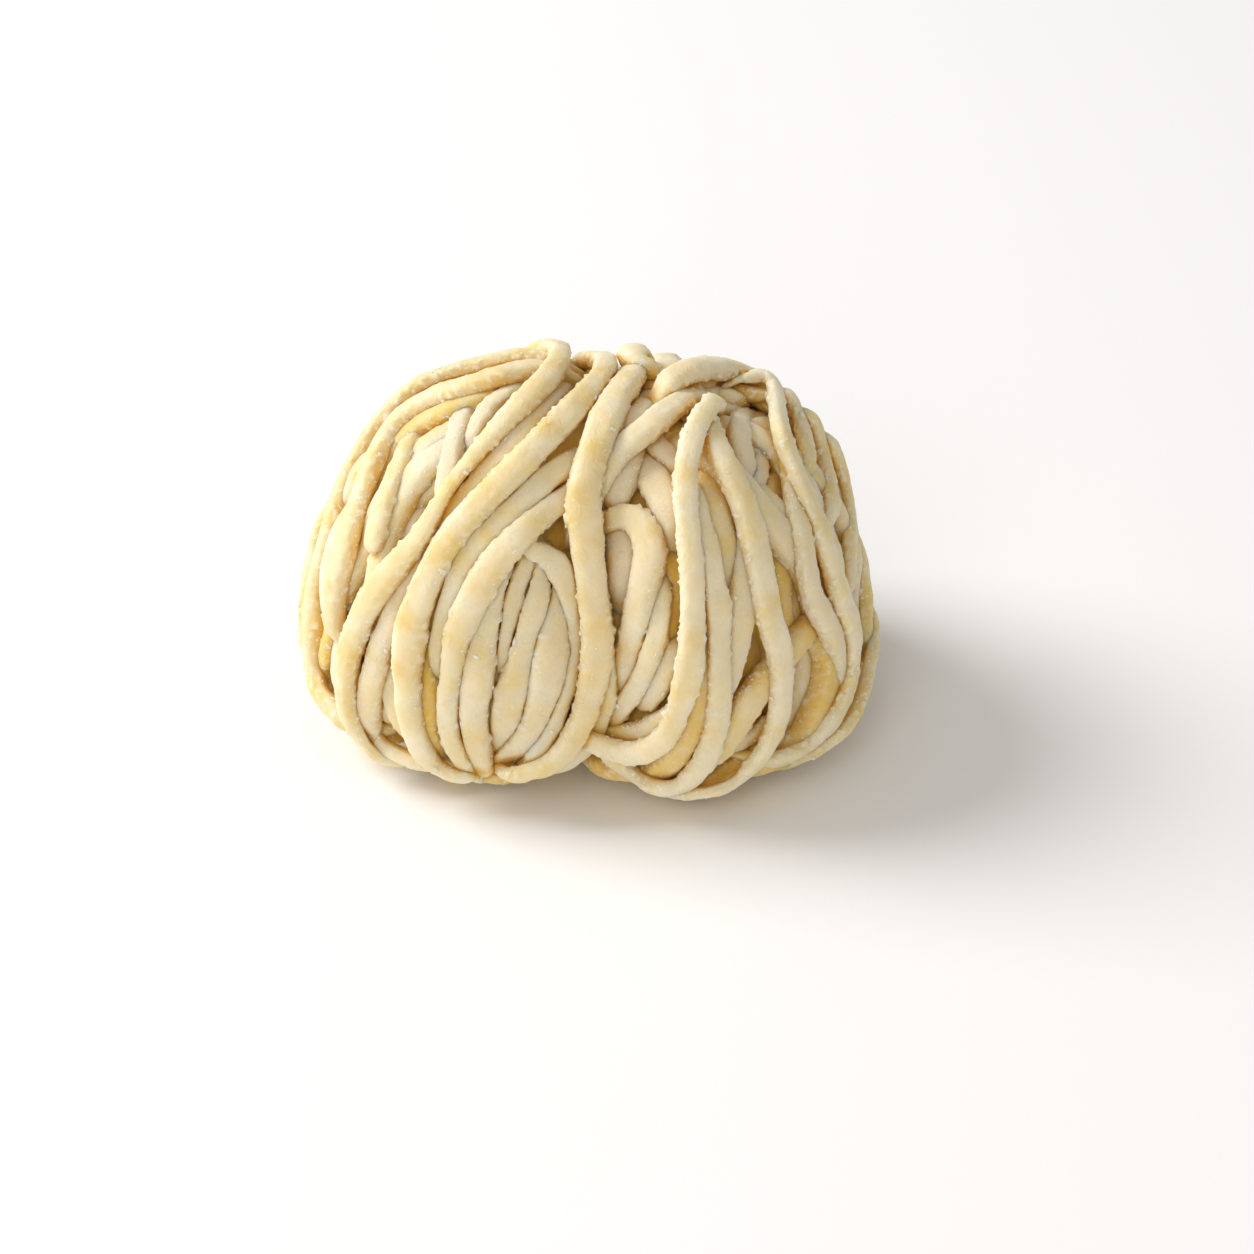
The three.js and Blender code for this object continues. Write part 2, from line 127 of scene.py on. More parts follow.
# ---- The strands that show from the front ----------------------------------------------------------------
# height: 3 lies on top, 0 is deepest. width: as it looks on the sheet, one value or several from top to foot.
# flour and gold run from 0 to 1. line: its points on the sheet, across and up. top and foot say how the ends
# go: "over" the crest and down behind, "tuck" under the neighbours, or "free" in view.
Strand = namedtuple("Strand", "name height width flour gold line top foot", defaults=("tuck", "tuck"))
# gold over 0.65 also paints a strand that lies deep with the saturated gold of shade in the gaps
FRONT = [
    # the outer turns of the left lobe
    Strand("A1", 1.4, 3.5, 0.1, 0.55, [
        (-8.5, 47.7), (-11.5, 48.1), (-14.5, 47.4), (-17.5, 46.1), (-20.4, 44.8), (-23.2, 43.4),
        (-25.3, 41.9), (-27.6, 39.9), (-29.4, 38.1), (-30.7, 36), (-31.9, 33.4), (-33.1, 30.7), (-34.3, 28),
        (-35.6, 25.5), (-36.8, 21.8), (-37.4, 18.3), (-38, 15), (-38.7, 12.2), (-38.7, 10),
    ], top="over"),
    Strand("A2", 2, (2.9, 3.2, 3.6, 3.9, 3.5), 0.2, 0.5, [
        (-7.5, 48.2), (-11, 47.3), (-14.5, 46.2), (-18, 45), (-21.5, 44), (-24.7, 42.2), (-27, 39.8),
        (-29.6, 36.4), (-31.8, 32.5), (-33.3, 28.8), (-34.8, 24.8), (-36, 21), (-37.2, 16.5), (-37.7, 12),
        (-37.6, 8), (-37.9, 4.5), (-37.3, 1.5), (-35.9, -0.9), (-34.2, -1.8),
    ], top="over"),
    Strand("A3", 2.3, (3.2, 3.5, 3.9), 0.25, 0.5, [
        (-6.5, 46.6), (-9.5, 45.9), (-12.5, 44.6), (-16, 43), (-19.5, 42.1), (-23, 40.4), (-25.5, 38.7),
        (-27.5, 36.1), (-29.3, 33), (-30.6, 30), (-31.6, 27), (-32.6, 24), (-33.3, 20.5), (-33.8, 17.5),
        (-34.8, 14.5), (-35, 12),
    ], top="over"),
    Strand("A4", 1.3, 3, 0.1, 0.75, [
        (-15.5, 41.6), (-18.5, 40.2), (-21.5, 38.7), (-24, 37), (-26.2, 34.8), (-28, 32), (-29.4, 29),
        (-30.4, 26), (-31, 23.5), (-31.3, 21),
    ]),
    Strand("B0", 2, (3, 3.4, 3.6), 0.2, 0.45, [
        (-24.9, 35), (-25.6, 32.2), (-26.7, 29.3), (-27.6, 26.8), (-28.3, 24.5), (-29, 22), (-29.6, 20.2),
    ], foot="free"),
    # the long turns that sweep down the front of the left lobe
    Strand("B1", 3, (2.9, 3.3, 3.6, 2.4, 2.2, 3.3, 4.1, 3.7, 3.2, 2.4), 0.1, 0.5, [
        (-3.7, 48), (-4.1, 46.2), (-5.7, 44.2), (-8.6, 41.4), (-12, 38), (-14.9, 34.7), (-17.4, 31.8),
        (-19.2, 29.5), (-21.2, 25.9), (-23, 22.5), (-25.3, 19.8), (-27.2, 17.3), (-29.8, 14.2),
        (-31.5, 10.7), (-32.8, 7.5), (-33.4, 3.8), (-33.6, 0.8), (-33.3, -1.5), (-32.6, -3.8),
        (-31.2, -5.4),
    ], top="over"),
    Strand("B2", 1.5, (3, 2.7, 2.3, 3.1, 1.9, 1.8, 2.5, 3.4, 3.8, 3.4, 3), 0.45, 0.4, [
        (-1.6, 46.3), (-2.6, 44.8), (-4, 42.8), (-6, 40.6), (-8, 38.5), (-9.7, 36.3), (-12, 33.7),
        (-14.4, 31.4), (-16.4, 29.3), (-18.4, 26.8), (-20.8, 23.2), (-22.4, 20.2), (-24.2, 17),
        (-25.8, 14.7), (-27, 12.3), (-27.7, 9.8), (-28.5, 7), (-29, 4.5), (-29.7, 2), (-30.1, -0.5),
        (-30.1, -3), (-29.4, -5.3), (-27.7, -7), (-25.2, -7.9),
    ]),
    Strand("C1", 2.7, (3, 3.6, 3.8, 3.6, 3.6, 3.9, 4, 3.9, 3.3, 2.2), 0.2, 0.5, [
        (2, 44.9), (0.6, 43.2), (-1.2, 41.2), (-3, 39), (-5, 36.9), (-7.2, 34.5), (-9.8, 31.8), (-12.5, 29),
        (-15, 26.6), (-17.5, 24), (-19.6, 21.2), (-21.3, 18.5), (-22.7, 15.5), (-23.7, 12.5), (-24.5, 9),
        (-24.9, 5), (-24.9, 1), (-24.6, -2.5), (-24, -5), (-22.8, -7.3), (-21.2, -9.2), (-19.2, -10.5),
        (-17.3, -11), (-15.4, -10.7),
    ], top="over", foot="free"),
    Strand("C2", 1.6, (3.4, 3.5, 3.3, 2.5, 2.3), 0.35, 0.45, [
        (-2, 32.6), (-4.5, 31.3), (-6.8, 29.4), (-9.3, 27.2), (-11.7, 25), (-13.8, 23), (-16, 20.5),
        (-17.6, 17.8), (-18.8, 14.8), (-19.8, 12.2), (-20.6, 9.5), (-21, 6.5),
    ]),
    Strand("P1", 1.4, 2.5, 0.8, 0.2, [
        (-8.5, 44.3), (-11, 42.7), (-13.3, 40.7), (-15, 38.2), (-16.3, 35.8),
    ]),
    Strand("P2", 1, 3, 0.8, 0.2, [(-16.8, 39.6), (-17.8, 37), (-18.3, 34.5), (-18.6, 32.2), (-19.2, 30.8)]),
    Strand("P3", 0.5, 3.2, 0.9, 0.1, [(-24, 33.8), (-22.5, 33.6), (-21, 33.3), (-19.5, 32.9)]),
    Strand("Q1", 0.7, 2.4, 1.0, 0, [
        (-21, 31), (-22.3, 29.5), (-23.8, 27.3), (-25, 24.8), (-26.3, 22), (-27.3, 20.3),
    ]),
    Strand("Q2", 0.7, 2.4, 1.0, 0.1, [(-30.2, 25.5), (-31, 23), (-31.3, 20.8)]),
    Strand("L1", 0.9, 2.4, 0.1, 0.9, [(-31.2, 20.5), (-31.9, 17.8), (-32.6, 15.2), (-33.3, 13)]),
    Strand("L2", 1, 2.7, 0.1, 0.9, [(-34.6, 11.5), (-35.1, 8.5), (-35.6, 5.5), (-35.6, 2.5), (-34.8, 0)]),
    # the arch of the left lobe and the strands that stand in it
    Strand("D1", 2, (3.4, 3.4, 4.2, 4.3, 4.2, 3.4, 2.8, 2.7, 2.7), 0.3, 0.45, [
        (-0.8, 29), (-3.5, 27.5), (-6, 25.8), (-8.5, 23.6), (-10.8, 21.2), (-12.9, 18.8), (-14.7, 16),
        (-16.2, 13), (-17.3, 10.5), (-18.2, 8), (-18.7, 5), (-19, 2), (-19.2, -1), (-19, -4), (-18.2, -6.5),
        (-17, -8.6),
    ]),
    Strand("D2", 1.2, (2, 3.2, 4.3, 4.4, 4, 4, 3), 0.5, 0.4, [
        (-12.7, 15.2), (-13.7, 11.8), (-14.3, 9), (-14.8, 6), (-15.3, 3), (-15.8, 0), (-15.8, -3),
        (-15.3, -5.8), (-14.6, -8), (-14.5, -10),
    ], foot="free"),
    Strand("D3", 0.5, (2.4, 2.3, 1.7), 0.55, 0.4, [
        (-8.6, 19), (-9.6, 16), (-10.3, 13), (-10.9, 10), (-11.4, 7.5),
    ]),
    Strand("D4", 0.9, (2, 3.2, 2.8, 3.1, 4, 4.3, 2.6), 0.5, 0.45, [
        (-6.4, 17.4), (-6.9, 14.5), (-7.7, 11.5), (-8.8, 9), (-9.3, 6.5), (-9.9, 4), (-10.5, 1),
        (-11, -1.5), (-11.7, -3.8), (-12.5, -5.5),
    ]),
    Strand("D5", 0.9, (2, 3.6, 4.4, 4.5, 4, 3.6, 3.2, 2.4), 0.5, 0.4, [
        (-4, 13.8), (-4.4, 11.5), (-4.9, 9), (-5.2, 6.5), (-5.6, 4), (-6.2, 1), (-7, -1.5), (-7.9, -4),
        (-9.3, -6), (-11, -7.4), (-12.8, -8),
    ]),
    Strand("D6", 1.3, (2.8, 4, 2.7, 2, 1.9, 2.2, 2.5, 2.4), 0.5, 0.4, [
        (-7.5, 20.7), (-5.3, 20), (-3.7, 17.8), (-2.8, 15), (-2.2, 12), (-1.8, 9), (-1.9, 6), (-2.3, 3.5),
        (-2.9, 1), (-3.9, -1.5), (-5, -4), (-6.5, -6.3),
    ]),
    Strand("M1", 0.6, 3.6, 0.1, 0.9, [
        (-19.5, 14), (-20.7, 11), (-21.6, 6), (-21.8, 0), (-21.3, -4), (-19.8, -7),
    ]),
    Strand("M2", 0.8, 3.2, 0.1, 0.9, [(-22, -1.5), (-20, -6), (-18.3, -8.2), (-16, -9.4)]),
    # the strand that snakes down between the lobes, and its neighbours
    Strand("N1", 1.5, 3, 0.6, 0.25, [(-3.5, 46.9), (-1.5, 46.7), (0.5, 46.6), (2.2, 46.4), (3.6, 46)]),
    Strand("E1", 3, (4.2, 4.4, 4.6, 4.5, 4.7, 4.5, 4.2, 4.2, 4.1, 3.7, 3.4, 2.6), 0.25, 0.55, [
        (6.3, 45.2), (5.3, 43.6), (4, 41.6), (2.9, 39.3), (1.7, 36.7), (0.8, 34.3), (-0.1, 31.5),
        (-0.7, 28.5), (-0.7, 25.5), (-0.3, 22.5), (0.2, 19.5), (0.5, 16.5), (0.8, 13), (1.1, 10), (1.2, 7),
        (1, 4.5), (0.6, 2), (0, -0.5), (-0.9, -3), (-2.2, -5.5), (-3.8, -7.6), (-5.8, -9.2), (-8, -9.8),
    ]),
    Strand("E2", 1.8, 3, 0.3, 0.5, [
        (2.7, 5.5), (2.7, 3.5), (2.5, 1), (1.9, -1.5), (0.9, -4), (-0.3, -5.8), (-2, -7.2),
    ]),
    Strand("K", 2.8, 4.3, 0.4, 0.3, [(7.5, 46.2), (7, 47), (6, 47.6), (4.7, 47.8)], foot="free"),
    Strand("F1", 2, (3, 3.4, 3.2), 0.4, 0.35, [
        (17, 43.6), (14.8, 42.9), (12.6, 41.4), (10.6, 39.2), (8.8, 37.6), (7.2, 36.5), (5.6, 35.4),
        (4, 33.8), (2.8, 32), (1.5, 29.8),
    ]),
    Strand("F2", 1.5, 3.5, 0.8, 0.25, [(9.6, 44.2), (8.7, 42.5), (7.4, 40.5), (6.2, 38.8), (4.9, 37.2)]),
    Strand("J1", 0.9, 5, 0.7, 0.35, [
        (5.2, 34.3), (7, 32.8), (8.8, 31), (10.2, 28.8), (11.2, 26.2), (11.8, 24),
    ]),
    Strand("J0", 0.5, 3, 0.8, 0.3, [(8.3, 36.2), (10.5, 34.7), (12.5, 32.7)]),
    Strand("J2", 1.2, 4.2, 0.8, 0.25, [
        (5.6, 33.2), (4.9, 31), (4.2, 28.8), (3.6, 27), (3.6, 25.8),
    ], foot="free"),
    Strand("J3", 1, (3, 3.8, 4.3, 4, 3.6, 3), 0.45, 0.35, [
        (2.8, 24.7), (4.6, 25.7), (6.6, 25.2), (8.2, 23.3), (9, 20.8), (8.7, 18), (8.1, 15.4), (7.4, 12.5),
        (6.6, 10), (5.9, 7.5), (5.4, 5), (4.6, 2.8), (3.4, 0.8),
    ]),
    Strand("J4", 1, 3, 0.4, 0.4, [
        (10.2, 15.5), (10.3, 13), (10, 10.5), (9.4, 8), (8.7, 5.5), (7.7, 3.2), (6.4, 1), (4.8, -1),
        (3.4, -2.3),
    ]),
    Strand("J5", 0.9, 4.4, 0.9, 0.25, [(4, 24.5), (4.5, 21.5), (4.6, 18.5), (4.3, 15.5)]),
    Strand("J6", 0.3, 3.6, 0.5, 0.6, [(4.2, 16), (3.9, 13), (3.5, 10), (3.2, 7)]),
    Strand("J7", 0.5, 3.6, 0.1, 0.9, [(11.9, 20), (11.6, 15), (11.3, 10), (11.2, 7)]),
    Strand("J8", 0.8, 3.2, 0.4, 0.6, [(11.8, 7.6), (11.1, 5.5), (10.4, 3.5)]),
    Strand("J9", 1.1, 2.9, 0.6, 0.5, [(1.5, -4), (4, -4.5), (6.5, -4.7), (9, -4), (10.5, -3)]),
    # the right lobe: its crest, and the turns in front
    Strand("H0", 1, 2.5, 0.4, 0.4, [(7.5, 44.6), (9.5, 45.1), (11.8, 45.2), (13.5, 44.8)]),
    Strand("H1", 1.4, 3.4, 0.6, 0.2, [(13.5, 43.2), (15.5, 43.6), (17.8, 43.8), (20, 43.6), (22.3, 43)]),
    Strand("H2", 1.6, 2.8, 0.4, 0.27, [(17, 42.9), (19.3, 42.4), (21.7, 42.2), (24, 42.5)]),
    Strand("H3", 1, 3.3, 0.8, 0.25, [
        (23.2, 39.4), (21.8, 39.4), (20.7, 38), (20.6, 36), (21.3, 33.5), (22.3, 31),
    ]),
    Strand("H4", 0.8, 2.5, 0.8, 0.3, [(24.3, 39.2), (23.9, 36.5), (23.5, 33.5), (23.2, 30.8), (23, 29)]),
    Strand("G1", 3, 3.3, 0.3, 0.22, [
        (16.6, 40.2), (15.5, 38.8), (14.6, 37.2), (13.9, 35), (13.5, 32), (13.4, 29), (13.5, 26),
        (13.9, 23), (14.2, 20), (14.4, 17), (14.4, 14), (14.3, 11), (14.2, 8), (13.9, 5), (13.4, 2.5),
        (13, 0.5), (12.4, -1.8), (11.4, -4), (9.8, -6), (7.6, -7.3), (5.2, -7.4), (3.2, -6.8), (1.6, -6.2),
    ]),
    Strand("G1b", 2.4, (3, 3, 3.2, 3.6, 3.7, 3.2, 2.8), 0.4, 0.22, [
        (14.8, 26.5), (15.6, 24), (16.4, 21.2), (17.1, 18), (17.5, 15), (17.8, 12), (18, 9), (18.1, 6),
        (18.2, 3), (18.1, 0), (17.7, -3), (17, -6), (15.8, -8.8), (14, -11), (11.8, -12.3), (9.5, -12.3),
        (7.5, -11.2), (5.8, -9.7), (4.2, -8.4),
    ]),
    Strand("G2", 2.7, (2.8, 3.6, 3.8, 3.8, 3.8, 3.6, 3.3, 3, 2.8, 2.5), 0.25, 0.27, [
        (16.9, 38), (17.4, 36), (18.4, 33.5), (19.8, 30.5), (21, 28), (21.9, 25.5), (22.8, 22.5),
        (23.4, 19.5), (24, 16.5), (24.6, 13.5), (25.2, 10.8), (26, 8.2), (26.6, 5.5), (26.7, 3),
        (26.7, 0.5), (26.4, -2), (25.6, -4.5), (24.3, -7), (22.5, -9.3), (20.3, -11.3), (17.8, -12.6),
        (15.2, -12.8),
    ]),
    Strand("G0", 2.6, 4, 0.3, 0.2, [
        (10.8, 43.6), (12.2, 44.6), (14, 45.4), (16.5, 45.9), (19, 45.7), (21.5, 45.2), (23.5, 44.6),
    ]),
    Strand("G3", 3, (2.6, 2.8, 3.1, 2.8, 2.8, 3, 2.6, 2.8, 2.7), 0.3, 0.22, [
        (22, 44.5), (23.6, 45), (25, 44.5), (25.8, 43), (26, 41), (26.3, 38.5), (26.9, 36), (27.8, 33.3),
        (28.9, 30.8), (30, 28.3), (31.3, 25.5), (32.3, 22.8), (33.2, 20), (34, 17.3), (34.8, 14.5),
        (35.8, 11.8), (36.6, 9), (36.6, 6), (36.3, 3), (35.5, 0.5), (34.4, -1.5), (32.8, -3.8),
        (30.8, -5.8), (28.6, -7.3), (26.4, -8),
    ]),
    Strand("G4", 2, (2.6, 3.1, 3.6, 3.6, 3.2, 2.2), 0.4, 0.22, [
        (27.2, 33), (27.8, 30), (28.2, 27), (28.6, 24), (29.1, 21), (29.7, 18.3), (30.3, 15.5),
        (31.3, 12.8), (32.8, 10.2), (33.9, 7.8), (34.5, 5.5), (34.6, 3.5),
    ]),
    Strand("G5", 2.2, (2.5, 2.6, 2.2), 0.3, 0.4, [
        (27.7, 43.6), (28.5, 41), (29.1, 38.5), (29.8, 35.8), (30.4, 33.3),
    ], top="over"),
    Strand("G6", 2, 2.6, 0.3, 0.45, [
        (30.2, 40), (31.2, 37.3), (31.7, 34.8), (32.3, 32), (33, 29.3), (33.4, 27),
    ], top="over"),
    Strand("G7", 2, 2.4, 0.3, 0.45, [
        (32.5, 37.3), (33.9, 34), (34.7, 31), (35.3, 28), (35.7, 25), (35.8, 22), (35.9, 19.5), (36, 17.2),
    ], top="over"),
    Strand("G8", 1.6, (3, 3, 3, 3.4, 2.8), 0.1, 0.75, [
        (33, 35), (34.7, 31.5), (35.7, 28), (36.4, 24.5), (36.9, 21), (37.3, 18), (37.7, 15.5), (38.4, 13),
        (38.8, 10.5), (38.9, 8),
    ], top="over"),
    Strand("G9", 1.5, (2.4, 2.8, 2.8, 2.4), 0.2, 0.6, [
        (38.9, 12), (38.9, 9), (38.7, 6), (38.3, 3), (37.8, 0.5), (36.9, -1.8), (35.5, -3.9), (33.5, -5.7),
        (31.2, -7), (29, -7.9),
    ]),
    Strand("G10", 0.7, 3.4, 0.2, 0.6, [(35.3, 27.5), (36.2, 24), (36.8, 20.5), (37.8, 17)]),
    # what shows between them, deeper in
    Strand("I1", 1.5, 5.8, 0.1, 0.8, [
        (31.8, 9), (32.4, 6.5), (32.2, 3.5), (31.5, 0.5), (30.4, -2), (28.9, -4.4), (27, -6),
    ]),
    Strand("I2", 1.1, 4, 0.2, 0.7, [
        (31.5, 11.5), (29.8, 9.3), (28, 7.2), (26, 4.8), (24, 2.3), (22, -0.3), (20.5, -2.7), (19, -5),
    ]),
    Strand("I3", 0.9, 3.5, 0.6, 0.5, [
        (21.2, 21), (20.9, 17.5), (20.8, 14), (20.7, 11), (20.3, 8), (19.9, 5.5),
    ]),
    Strand("I4", 0.8, 2.7, 0.7, 0.4, [(24.5, -3.5), (22.5, -4.8), (20.3, -5.8), (18.8, -6.3)]),
    Strand("I5", 0.5, 3.6, 0.1, 0.9, [(26.3, 26), (26.4, 22), (27, 18), (27.4, 14), (28, 11)]),
    Strand("I6", 1.2, 3.5, 0.1, 0.8, [(23.5, -6.5), (21, -8), (18.7, -9.5), (16.5, -11)]),
    Strand("I7", 0.9, 3.1, 0.4, 0.6, [(26.9, 31.7), (25.8, 29.3), (25.2, 27), (25.3, 24.5)]),
    Strand("I8", 1.2, 3.6, 0.2, 0.8, [
        (15.8, 9), (15.6, 5), (15.4, 1.5), (15, -1.5), (14.2, -4.5), (12.6, -7.2), (10.4, -9.2), (7.8, -10),
        (5.5, -9.6),
    ]),
    Strand("I9", 0.8, 4.4, 0.3, 0.6, [
        (17.5, 33), (16.8, 30), (17.3, 26.5), (18.5, 23), (19.3, 20), (20, 16),
    ]),
]

# how far across the nest each strand that goes over the crest reaches the ground behind
FOOT_BEHIND = {"A1": 25, "A2": -17, "A3": 9, "B1": -27, "C1": -8, "G5": 13, "G6": 22, "G7": 29, "G8": 33}

# ---- Laying the strands ----------------------------------------------------------------------------------
STEP = 1.5  # between the points of a strand while it is laid and eased
LINE_STEP = 0.8  # between the points of its line on the sheet
NEARER = 0.9  # widths are read on the sheet, and the strands lie nearer to the eye
THICK = 0.81  # a soft strand's thickness against its width
TOP_DEPTH = 1.8  # from the skin to the middle of a top strand
LAYER = 1.25  # from one height to the next
TOP_FROM = 2  # strands of this height and over are the top ones, and are made finest
SIDES_MEET = -2.5  # a strand whose middle lies left of this belongs to the left lobe
TAIL_BEND = 5.0  # how tightly a tucked end turns in

TOUCHING = 6.5  # the middles of strands that may touch are no further apart
SNUG_WIDTH, SNUG_THICKNESS = 0.88, 0.86 * THICK  # where two touch, against their full sizes: dough gives
ROUNDS = 24  # of easing
PAIRS_KEPT = 6  # rounds before the pairs that may touch are looked up again
QUICKEST = 0.7  # the most that a point moves in one round
GIVES_WAY = 0.9  # how much of what is asked it moves
UPPER_GIVES = 0.15  # the upper of two strands moves by this share of their overlap, the lower by the rest
RANKS_APART = 0.25  # strands nearer in rank than this part side by side
KEEPS_ASIDE, KEEPS_HEIGHT = 0.93, 0.995  # what each round leaves of a shift from where a point was laid
FLATTENS = 0.97  # how thick a strand stays on the ground
MOST_PROUD = 0.5  # how far easing may lift a strand above its own layer
MOST_ASIDE = 1.1  # and how far it may shift one aside

NEAR_LEVEL = 1.8  # strands that lie within this of each other's height press together
CLOSES = 0.9  # a gap up to this is pressed shut, one of twice this stays

BACK_WIDER = 0.9  # strands behind are this much wider than their fellows in front
BACK_DEPTH = (2.2, 6)
BACK_FROM = 3.5  # how far behind the nest's middle they begin
RUN_ENDS_AT, LONGEST_RUN = 4, 70  # height over the ground, and steps from the crest
END_SWINGS = (-42, -31, -20, -10, 1, 12, 23, 33, 43)  # degrees round each end, one for each strand
END_WIDTH, END_DEPTH = 4.5, 3.4
INNER_TURNS, INNER_HALF_LENGTH, INNER_CENTRE, INNER_LOWEST = 15, 31, 21.0, 2.1
INNER_WIDTH, INNER_DEPTH = 5.2, 5.2


def evenly(points, step):
    """The same line with its points a step apart."""
    along = np.concatenate([[0], np.cumsum(np.linalg.norm(np.diff(points, axis=0), axis=1))])
    stops = np.linspace(0, along[-1], max(4, int(round(along[-1] / step)) + 1))
    return np.stack([np.interp(stops, along, points[:, i]) for i in range(points.shape[1])], axis=1)


def through(knots, step):
    """Points a step apart on the smooth curve through the knots."""
    knots = np.asarray(knots, dtype=float)
    ends = [2 * knots[0] - knots[1], 2 * knots[-1] - knots[-2]]
    k = np.vstack([ends[:1], knots, ends[1:]])
    pieces = []
    for a, b, c, d in zip(k, k[1:], k[2:], k[3:]):
        t = np.linspace(0, 1, 12, endpoint=False)[:, None]
        bend = (2 * a - 5 * b + 4 * c - d) * t**2
        turn = (3 * b - a - 3 * c + d) * t**3
        pieces.append(0.5 * (2 * b + (c - a) * t + bend + turn))
    return evenly(np.vstack(pieces + [knots[-1:]]), step)


def softened(points, passes):
    """Each point drawn towards its neighbours, in place, with the ends left where they are."""
    for _ in range(passes):
        points[1:-1] = 0.5 * points[1:-1] + 0.25 * (points[:-2] + points[2:])
    return points


def spread(values, count):
    """One value, or several from end to end, as a value for each of the points."""
    values = np.atleast_1d(np.asarray(values, dtype=float))
    return np.interp(np.linspace(0, 1, count), np.linspace(0, 1, len(values)), values)


def tail(points):
    """A quarter turn from a strand's last point in under its neighbours."""
    onwards = unit(points[-1] - points[-3])
    inwards = unit(MIDDLE - points[-1])
    turn = np.linspace(0.25, 1.8, 6)[:, None]
    return points[-1] + TAIL_BEND * (np.sin(turn) * onwards + (1 - np.cos(turn)) * inwards)


class Nest:
    """All the strands, whose points can be had as one table so that they are eased apart together."""

    def __init__(self):
        self.parts = []

    def lay(self, group, points, width, rank, flour, gold, seen=None, tails=(True, True)):
        """Adds a strand. Of two that cross, the one of higher rank lies outside. seen: the way it may slide."""
        rank = np.full(len(points), float(rank))
        wide = NEARER * spread(width, len(points))
        seen = outwards(points) if seen is None else seen
        for end in (0, 1):
            points, rank, wide, seen = points[::-1], rank[::-1], wide[::-1], seen[::-1]
            if tails[end]:
                extra = tail(points)
                points = np.vstack([points, extra])
                rank = np.concatenate([rank, rank[-1] - 0.5 * np.arange(1, len(extra) + 1)])
                wide = np.concatenate([wide, np.full(len(extra), wide[-1])])
                seen = np.vstack([seen, np.repeat(seen[-1:], len(extra), axis=0)])
        part = dict(group=group, points=points, wide=wide, rank=rank, flour=flour, gold=gold, seen=unit(seen))
        self.parts.append(part)

    def column(self, key):
        """What every point of every strand has under the key."""
        return np.concatenate([part[key] for part in self.parts])

    def owners(self):
        """Which strand each point belongs to."""
        return np.repeat(np.arange(len(self.parts)), [len(part["points"]) for part in self.parts])


def depth_of(height):
    return TOP_DEPTH + (3 - height) * LAYER


def run_down(points, depth, foot):
    """Past its top a strand runs on over the nest, and falls down the far side."""
    run = [points[0]]
    way = unit(points[0] - points[2])
    while run[-1][2] > RUN_ENDS_AT and len(run) < LONGEST_RUN:
        here = run[-1][None]
        out = outwards(here)[0]
        aside = np.clip((foot - here[0, 0]) / 14, -1.2, 1.2)
        fall = np.array([aside + 0.25 * math.sin(foot + len(run) / 7), 0.6, -1.0])
        way = way + 0.15 * unit(fall - fall.dot(out) * out)
        way = unit(way - way.dot(out) * out)
        run.append(set_at_depth(here + STEP * way, depth)[0])
    return np.array(run)


def behind(front, index):
    """Behind, a strand that stays in front has a fellow that runs much as it does, with a sway of its own."""
    sway = 2.0 * math.sin(2.4 * index)
    p = front * (0.97, -1, 1)
    sway = sway * np.cos(p[:, 2] / 14) + 2.5 * np.sin(p[:, 2] / 17 + p[:, 0] / 20)
    p[:, 0] += sway * np.clip(p[:, 1] / 15, 0, 1)
    p = p[p[:, 1] > BACK_FROM]
    if len(p) < 3:
        return p
    # near the crest it lies deeper, so that it doesn't stand up behind the strands in front
    depth = np.clip(skin_depth(front).mean(), *BACK_DEPTH) + 3 * np.clip(1.9 - p[:, 1] / 12, 0, 1.2)
    return softened(evenly(set_at_depth(p, depth), STEP), 3)


def lay_front(nest):
    """The strands of the front, with what each becomes behind."""
    for index, s in enumerate(FRONT):
        points, seen = fall_to(through(s.line, LINE_STEP), depth_of(s.height))
        points = softened(points, 6)
        both = evenly(np.hstack([points, seen]), STEP)
        points, seen = both[:, :3], both[:, 3:]
        side = "left" if np.mean([p[0] for p in s.line]) < SIDES_MEET else "right"
        group = side + ("_top" if s.height >= TOP_FROM else "_low")
        if s.top == "over":
            whole = np.vstack([run_down(points, depth_of(s.height), FOOT_BEHIND[s.name])[::-1], points[1:]])
            whole = softened(evenly(whole, STEP), 3)
            seen = np.where(whole[:, 1:2] < 0, -unit(whole - EYE), outwards(whole))
            wide = spread(s.width, len(points))
            wide = np.concatenate([np.full(len(whole) - len(points), max(wide[0], 3.2)), wide])
            nest.lay(group, whole, wide, s.height, s.flour, s.gold, seen, (True, s.foot != "free"))
            continue
        nest.lay(group, points, s.width, s.height, s.flour, s.gold, seen, (s.top != "free", s.foot != "free"))
        back = behind(points, index)
        if len(back) > 8:
            rank = s.height * 0.8 + 0.6 * math.sin(index * 2.3)
            nest.lay("back", back, np.mean(s.width) + BACK_WIDER, rank, s.flour * 0.6, s.gold)


def lay_ends(nest):
    """Round each end, strands come down from the crest side by side, with a sway of their own."""
    for side in (-1, 1):
        for k, swing in enumerate(END_SWINGS):
            rise = np.radians(np.arange(66 - 6 * (k % 2), -9, -2.0))
            turn = np.radians(swing * (1 - 0.25 * np.sin(rise)) + 7 * np.sin(3.1 * rise + 1.9 * k + side))
            ray = [side * np.cos(rise) * np.cos(turn), 0.85 * np.cos(rise) * np.sin(turn), np.sin(rise)]
            points = MIDDLE + 38 * unit(np.stack(ray, axis=1))
            points = set_at_depth(points, END_DEPTH + 0.7 * math.sin(2.2 * k))
            nest.lay("ends", softened(evenly(points, STEP), 3), END_WIDTH, 0.7, 0.3, 0.4)


